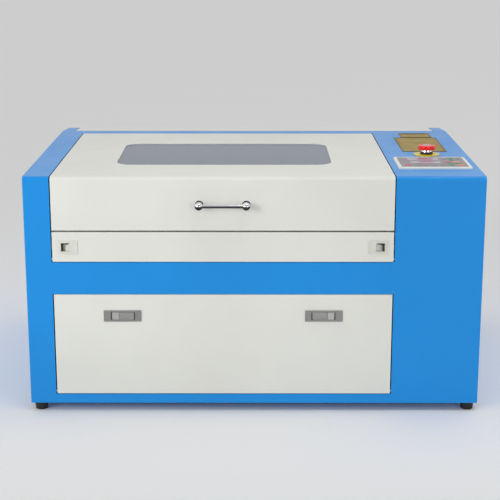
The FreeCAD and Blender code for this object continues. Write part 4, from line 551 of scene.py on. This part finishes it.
# how much smaller than the plate the outside and the inside are, their corners, the height
PLATE_RULES = ((0.6, 4.0, 0.5, 0.4, 0.25), (9.0, 10.2, 2.0, 1.6, 0.2))
PLATE_BAR = (411.0, 201.0, 58.0, 7.0, 0.6)
plate_top = corners("label_plates")[1][2]
plate_low = plate_top - 0.1
borders = Shape()
for x0, x1, y0, y1 in PLATES:
    cx = (x0 + x1) / 2
    cy = (y0 + y1) / 2
    w = x1 - x0
    d = y1 - y0
    for outer, inner, outer_r, inner_r, height in PLATE_RULES:
        borders.border(
            rounded(cx, cy, w - outer, d - outer, outer_r, 2),
            rounded(cx, cy, w - inner, d - inner, inner_r, 2),
            plate_low, plate_top + height,
        )
borders.pad(rounded(*PLATE_BAR, 2), plate_low, plate_top + 0.2, 0.1)
borders.make("plate_borders", LABEL_LINE, "frame")

# emergency stop: polished collar sleeve, cap centre and turning arrows
cap_lo, cap_hi = corners("estop_cap")
EX = (cap_lo[0] + cap_hi[0]) / 2
EY = (cap_lo[1] + cap_hi[1]) / 2
CAP_TOP = cap_hi[2]
COLLAR_R = 12.5
COLLAR_H = 6.4
# radius beyond the collar's, and height
SLEEVE = [(-0.3, 0), (0.45, 0), (0.5, 0.6), (0.3, 1.0), (0.3, 5.6), (0.1, 6.3), (-0.3, 6.3)]
CAP_DISC = [
    (0.01, 0.1), (6.5, 0.14), (8.6, 0.35), (9.4, 0.3), (9.6, 0.0), (9.6, -0.3), (0.01, -0.3),
]
collar_top = corners("estop_body")[1][2]
sleeve = Shape()
sleeve.lathe(
    (EX, EY, collar_top - COLLAR_H), UP, [(COLLAR_R + r, h) for r, h in SLEEVE], 64, closed=True,
)
sleeve.make("estop_collar", CHROME, "frame", soft=True)
centre = Shape()
centre.lathe((EX, EY, CAP_TOP), UP, CAP_DISC, 56)
centre.make("estop_cap_centre", CAP_GREY, "estop_cap", soft=True)

ARC_R = (12.9, 14.1)
ARC_STEPS = 10
ARC_SWEEP = math.radians(40)
HEAD_R = (12.55, 14.45, 13.5)
HEAD_SWEEP = math.radians(14)
PRINT_LOW = CAP_TOP - 0.5
turn = Shape()
for k in range(3):
    start = math.radians(120 * k + 4)
    end = start + ARC_SWEEP
    verts = []
    for i in range(ARC_STEPS + 1):
        t = start + ARC_SWEEP * i / ARC_STEPS
        for r in ARC_R:
            for z in (PRINT_LOW, CAP_TOP - 0.12):
                verts.append((EX + r * math.cos(t), EY + r * math.sin(t), z))
    faces = []
    for i in range(ARC_STEPS):
        a = 4 * i
        b = a + 4
        faces += [(a, a + 1, b + 1, b), (a + 2, b + 2, b + 3, a + 3)]
        faces += [(a + 1, a + 3, b + 3, b + 1), (a, b, b + 2, a + 2)]
    last = 4 * ARC_STEPS
    faces += [(0, 2, 3, 1), (last, last + 1, last + 3, last + 2)]
    turn.add(verts, faces)
    head = list(zip(HEAD_R, (end, end, end + HEAD_SWEEP)))
    tip = [
        (EX + r * math.cos(t), EY + r * math.sin(t), z)
        for z in (PRINT_LOW, CAP_TOP - 0.1) for r, t in head
    ]
    turn.add(tip, [(0, 1, 2), (3, 5, 4), (0, 3, 4, 1), (1, 4, 5, 2), (2, 5, 3, 0)])
turn.make("estop_arrows", CAP_PRINT, "estop_cap")

# painted shade: dark liners along the outer wall and the top of each flap latch scoop stand in for
# the shade there
SHADE_LINER = [(0, -8.8), (4.6, -8.4), (4.6, 4.8), (5.4, 5.8), (15.5, 6.6), (15.5, 8.8), (0, 8.8)]
flap_lo, flap_hi = corners("flap_panel")
slide_lo, slide_hi = corners("flap_slider_left")
MIRROR_X = flap_lo[0] + flap_hi[0]
SHADE_LINER_X = slide_lo[0] + 20.6
SHADE_LINER_Z = (slide_lo[2] + slide_hi[2]) / 2
SHADE_LINER_DEPTHS = (flap_lo[1] + 0.6, flap_lo[1] + 1.5)
for painted_shade_liner_body, mirrored in (("flap_slider_left", False), ("flap_slider_right", True)):
    ring = [(SHADE_LINER_X + dx, SHADE_LINER_Z + dz) for dx, dz in SHADE_LINER]
    if mirrored:
        ring = [(MIRROR_X - x, z) for x, z in ring]
    n = len(ring)
    faces = [tuple(range(n)), tuple(range(n, 2 * n))]
    faces += [(i, (i + 1) % n, n + (i + 1) % n, n + i) for i in range(n)]
    painted_shade_liner = Shape()
    painted_shade_liner.add([(x, y, z) for y in SHADE_LINER_DEPTHS for x, z in ring], faces)
    painted_shade_liner.make(painted_shade_liner_body + "_painted_shade_liner", BLACK_PLASTIC, painted_shade_liner_body)

# honeycomb bed: crimped foil cells inside a thin rim
CELL = 12.0
FOIL_T = 0.35
CELL_SIDE = CELL / math.sqrt(3)
CELL_ROW = CELL_SIDE * 1.5
CELL_START = 4.0
CELL_MARGIN = 1.0
RIM_T = 1.2
RIM_INSET = 0.6
bed_lo, bed_hi = corners("honeycomb_bed")
comb = Shape()


def wall(a, b, t):
    """One upright strip of foil of thickness t between two points, as high as the bed."""
    (x0, y0), (x1, y1) = a, b
    dx = x1 - x0
    dy = y1 - y0
    length = math.hypot(dx, dy)
    nx = -dy / length * t / 2
    ny = dx / length * t / 2
    base = [(x0 + nx, y0 + ny), (x1 + nx, y1 + ny), (x1 - nx, y1 - ny), (x0 - nx, y0 - ny)]
    comb.add(
        [(x, y, z) for z in (bed_lo[2], bed_hi[2]) for x, y in base],
        [(0, 3, 2, 1), (4, 5, 6, 7), (0, 1, 5, 4), (1, 2, 6, 5), (2, 3, 7, 6), (3, 0, 4, 7)],
    )


def inside(point):
    return all(bed_lo[i] + CELL_MARGIN <= point[i] <= bed_hi[i] - CELL_MARGIN for i in (0, 1))


cols = int((bed_hi[0] - bed_lo[0]) / CELL) + 2
rows = int((bed_hi[1] - bed_lo[1]) / CELL_ROW) + 2
for j in range(rows):
    for i in range(cols):
        cx = bed_lo[0] + CELL_START + CELL * (i + 0.5 * (j % 2))
        cy = bed_lo[1] + CELL_START + CELL_ROW * j
        # half of each cell: its neighbours bring the other walls
        angles = [math.radians(60 * k + 30) for k in range(4)]
        pts = [(cx + CELL_SIDE * math.cos(t), cy + CELL_SIDE * math.sin(t)) for t in angles]
        for a, b in zip(pts, pts[1:]):
            if inside(a) and inside(b):
                wall(a, b, FOIL_T)
rim_x = (bed_lo[0] + RIM_INSET, bed_hi[0] - RIM_INSET)
rim_y = (bed_lo[1] + RIM_INSET, bed_hi[1] - RIM_INSET)
rim = [(rim_x[0], rim_y[0]), (rim_x[1], rim_y[0]), (rim_x[1], rim_y[1]), (rim_x[0], rim_y[1])]
for a, b in zip(rim, rim[1:] + rim[:1]):
    wall(a, b, RIM_T)
comb_piece = comb.make("honeycomb_cells", FOIL, "table")
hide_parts("honeycomb_bed")

# lift screws: a two-start thread, 8 mm a turn, with its journal and collar
PITCH = 4.0
STARTS = 2
ROOT_R = 4.9
CREST_R = 6.0
AROUND = 24
ROWS_A_PITCH = 6
COLLAR_UP = 13.0
JOURNAL = [(3.4, 0), (4.0, 0.6), (4.0, COLLAR_UP)]
COLLAR = [(8.2, 0), (9.0, 0.8), (9.0, 7.2), (8.2, 8.0)]
THREAD_UP = COLLAR_UP + 7.9  # just inside the collar
for screw_name in ("lift_screw_left", "lift_screw_right"):
    lo, hi = corners(screw_name)
    x = (lo[0] + hi[0]) / 2
    y = (lo[1] + hi[1]) / 2
    screw = Shape()
    screw.lathe((x, y, lo[2]), UP, JOURNAL, 32)
    screw.lathe((x, y, lo[2] + COLLAR_UP), UP, COLLAR, 40)
    bottom = lo[2] + THREAD_UP
    height = hi[2] - bottom
    levels = int(height / PITCH * ROWS_A_PITCH)
    verts = []
    for j in range(levels + 1):
        z = bottom + height * j / levels
        for i in range(AROUND):
            t = 2 * math.pi * i / AROUND
            phase = ((z - bottom) / PITCH - STARTS * i / AROUND) % 1.0
            # a ramp up, a flat crest, a ramp down and a flat root in each pitch
            lift = max(0.0, min(1.0, (0.5 - abs(phase - 0.5)) / 0.5 * 1.8 - 0.4))
            r = ROOT_R + (CREST_R - ROOT_R) * lift
            verts.append((x + r * math.cos(t), y + r * math.sin(t), z))
    screw.add(verts, skin(levels + 1, AROUND))
    thread = screw.make(screw_name + "_thread", THREAD, screw_name, soft=True)
    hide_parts(screw_name)

# laser tube: bore, water jacket, return coil and electrodes inside the glass
BORE_END = 96
JACKET_END = 120
COIL_TURNS = 5
COIL_STEPS = 16  # points a turn
COIL_R = 17.0
COIL_LENGTH = 34.0
ELECTRODE_END = 46
ELECTRODE = [(7.0, 0), (9.0, 1.5), (9.0, 30), (8.4, 31), (8.4, 2.2), (7.0, 1.0)]
tube_lo, tube_hi = corners("laser_tube")
TY = (tube_lo[1] + tube_hi[1]) / 2
TZ = tube_lo[2] + (tube_hi[1] - tube_lo[1]) / 2
tx0 = tube_lo[0]
tx1 = tube_hi[0]
bore_len = tx1 - tx0 - 2 * BORE_END
jacket_len = tx1 - tx0 - 2 * JACKET_END
bore = Shape()
bore.lathe(
    (tx0 + BORE_END, TY, TZ), RIGHT,
    [(5.2, 0), (6.0, 0), (6.0, bore_len), (5.2, bore_len)], 28, closed=True,
)
bore.lathe(
    (tx0 + JACKET_END, TY, TZ), RIGHT,
    [(12.4, 0), (13.4, 2), (13.4, jacket_len - 2), (12.4, jacket_len)], 28, closed=True,
)
points = COIL_TURNS * COIL_STEPS
path = []
for i in range(points + 1):
    t = 2 * math.pi * i / COIL_STEPS
    x = tx1 - 112 + COIL_LENGTH * i / points
    path.append((x, TY + COIL_R * math.cos(t), TZ + COIL_R * math.sin(t)))
bore.sweep(path, 1.6)
bore.make("tube_bore", GLASS, "frame", soft=True)
ends = Shape()
for base, sign in ((tx0 + ELECTRODE_END, 1), (tx1 - ELECTRODE_END, -1)):
    ends.lathe((base, TY, TZ), (sign, 0, 0), ELECTRODE, 36, closed=True)
    for along in (8, 22):
        ends.ring((base + sign * along, TY, TZ), RIGHT, 9.2, 0.7)
ends.make("tube_electrodes", COPPER, "frame", soft=True)

# finger guard in the mouth of the exhaust spigot: four rings, four spokes and a hub
GUARD_RINGS = (12.0, 22.0, 32.0, 42.0)
SPOKE_FROM = 10
SPOKE_TO = 48.2
HUB = [(9.4, -0.8), (10.4, 0), (10.4, 1.2), (9.4, 1.9)]
fan_lo, fan_hi = corners("exhaust_fan_housing")
FX = (fan_lo[0] + fan_hi[0]) / 2
FZ = (fan_lo[2] + fan_hi[2]) / 2
GUARD_Y = fan_hi[1] - 4.0
SPOKE_Y = GUARD_Y - 1.3
guard = Shape()
for radius in GUARD_RINGS:
    guard.ring((FX, GUARD_Y, FZ), BACK, radius, 0.9, 56)
for k in range(4):
    t = math.radians(90 * k + 45)
    cx = math.cos(t)
    cz = math.sin(t)
    guard.rod(
        (FX + SPOKE_FROM * cx, SPOKE_Y, FZ + SPOKE_FROM * cz),
        (FX + SPOKE_TO * cx, SPOKE_Y, FZ + SPOKE_TO * cz), 1.1,
    )
guard.lathe((FX, GUARD_Y - 1.0, FZ), BACK, HUB, 40)
guard.make("fan_guard", STEEL, "frame", soft=True)

# case screws on the rear panel: along its foot, up its sides and about the fan
SCREW_INSET = 9.0
SCREW_GAPS = 6
SCREW_HEIGHTS = (150.0, 270.0, 390.0)
SCREW_R = 4.0
FAN_SCREW_R = 3.4
FAN_SCREW_OFF = 56
rear_lo, rear_hi = corners("rear_panel")
rear_y = rear_hi[1]
screw_span = rear_hi[0] - rear_lo[0] - 2 * SCREW_INSET
case = Shape()
for i in range(SCREW_GAPS + 1):
    x = rear_lo[0] + SCREW_INSET + screw_span * i / SCREW_GAPS
    case.button_screw((x, rear_y, rear_lo[2] + SCREW_INSET), BACK, SCREW_R)
for z in SCREW_HEIGHTS + (rear_hi[2] - 36.0,):
    for x in (rear_lo[0] + SCREW_INSET, rear_hi[0] - SCREW_INSET):
        case.button_screw((x, rear_y, z), BACK, SCREW_R)
for sx in (-1, 1):
    for sz in (-1, 1):
        place = (FX + sx * FAN_SCREW_OFF, rear_y, FZ + sz * FAN_SCREW_OFF)
        case.button_screw(place, BACK, FAN_SCREW_R)
case.make("case_screws", THREAD, "frame", soft=True)

# ------------------------------------------------------------------ floor, light, camera
FLOOR_HALF = 40.0
ground = Mat("pale_floor", (0.88, 0.88, 0.88, 1.0), rough=0.9)
ground.b.inputs["Specular IOR Level"].default_value = 0.0
ground.tint(ground.noise(0.9, 3.0), 0.99, 1.01)
floor_mesh = bpy.data.meshes.new("floor")
floor_mesh.from_pydata(
    [(FLOOR_HALF * sx, FLOOR_HALF * sy, 0) for sx, sy in ((-1, -1), (1, -1), (1, 1), (-1, 1))],
    [], [(0, 1, 2, 3)],
)
floor_mesh.materials.append(ground.m)
floor = bpy.data.objects.new("floor", floor_mesh)
bpy.context.scene.collection.objects.link(floor)

LAMP_SPREAD = math.radians(56)


def area(name, size, place, aim, power):
    """A rectangular lamp at a place, in metres, that shines towards aim with power in watts."""
    light = bpy.data.lights.new(name, "AREA")
    light.shape = "RECTANGLE"
    light.size = size[0]
    light.size_y = size[1]
    light.energy = power
    light.spread = LAMP_SPREAD
    obj = bpy.data.objects.new(name, light)
    obj.location = place
    obj.rotation_euler = (Vector(aim) - Vector(place)).to_track_quat("-Z", "Y").to_euler()
    bpy.context.scene.collection.objects.link(obj)


area("key", (1.3, 1.0), (-1.9, -1.9, 1.1), (-0.38, 0, 0.50), 3.7)
area("fill", (1.6, 1.0), (1.9, -3.3, 0.9), (0.38, 0, 0.50), 2.0)
area("strip", (1.7, 0.35), (0.75, -0.75, 2.3), (0.6, -0.4, 0.5), 1.1)

# the room: even and pale, dimmer on the side that the front faces, and no dark band at the horizon
world = bpy.data.worlds.new("soft_world")
bpy.context.scene.world = world
world.use_nodes = True
sky = world.node_tree
direction = sky.nodes.new("ShaderNodeTexCoord")
axes = sky.nodes.new("ShaderNodeSeparateXYZ")
sky.links.new(direction.outputs["Generated"], axes.inputs["Vector"])


def fade(axis, near, far, near_level, far_level):
    """Brightness that goes smoothly from near_level to far_level along an axis of the direction."""
    n = sky.nodes.new("ShaderNodeMapRange")
    n.interpolation_type = "SMOOTHSTEP"
    n.inputs["From Min"].default_value = near
    n.inputs["From Max"].default_value = far
    n.inputs["To Min"].default_value = near_level
    n.inputs["To Max"].default_value = far_level
    sky.links.new(axes.outputs[axis], n.inputs["Value"])
    return n.outputs["Result"]


either = sky.nodes.new("ShaderNodeMath")
either.operation = "MAXIMUM"
sky.links.new(fade("Y", -0.85, -0.15, 0.26, 0.80), either.inputs[0])
sky.links.new(fade("Z", 0.07, 0.24, 0.62, 0.0), either.inputs[1])
backdrop = sky.nodes["Background"]
sky.links.new(either.outputs[0], backdrop.inputs["Strength"])
backdrop.inputs["Color"].default_value = (1.0, 1.0, 1.0, 1.0)

# the photo's camera, fitted to eight corners of the case; its place is from the front top shell's
# front and foot
LENS = 94.24
CAMERA_X = -0.0040
CAMERA_BEFORE = 2.7643
CAMERA_ABOVE = 1.0514
CAMERA_PITCH = math.radians(14.168)
CAMERA_YAW = math.radians(-0.112)
shell_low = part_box("front_top_shell")[0]
camera_data = bpy.data.cameras.new("camera")
camera_data.lens = LENS
camera_data.sensor_width = 36.0
camera = bpy.data.objects.new("camera", camera_data)
camera.location = (CAMERA_X, shell_low[1] - CAMERA_BEFORE, shell_low[2] + CAMERA_ABOVE)
forward = Vector((
    math.sin(CAMERA_YAW) * math.cos(CAMERA_PITCH),
    math.cos(CAMERA_YAW) * math.cos(CAMERA_PITCH),
    -math.sin(CAMERA_PITCH),
))
camera.rotation_euler = forward.to_track_quat("-Z", "Y").to_euler()
bpy.context.scene.collection.objects.link(camera)
bpy.context.scene.camera = camera
bpy.context.scene.view_settings.view_transform = "Standard"
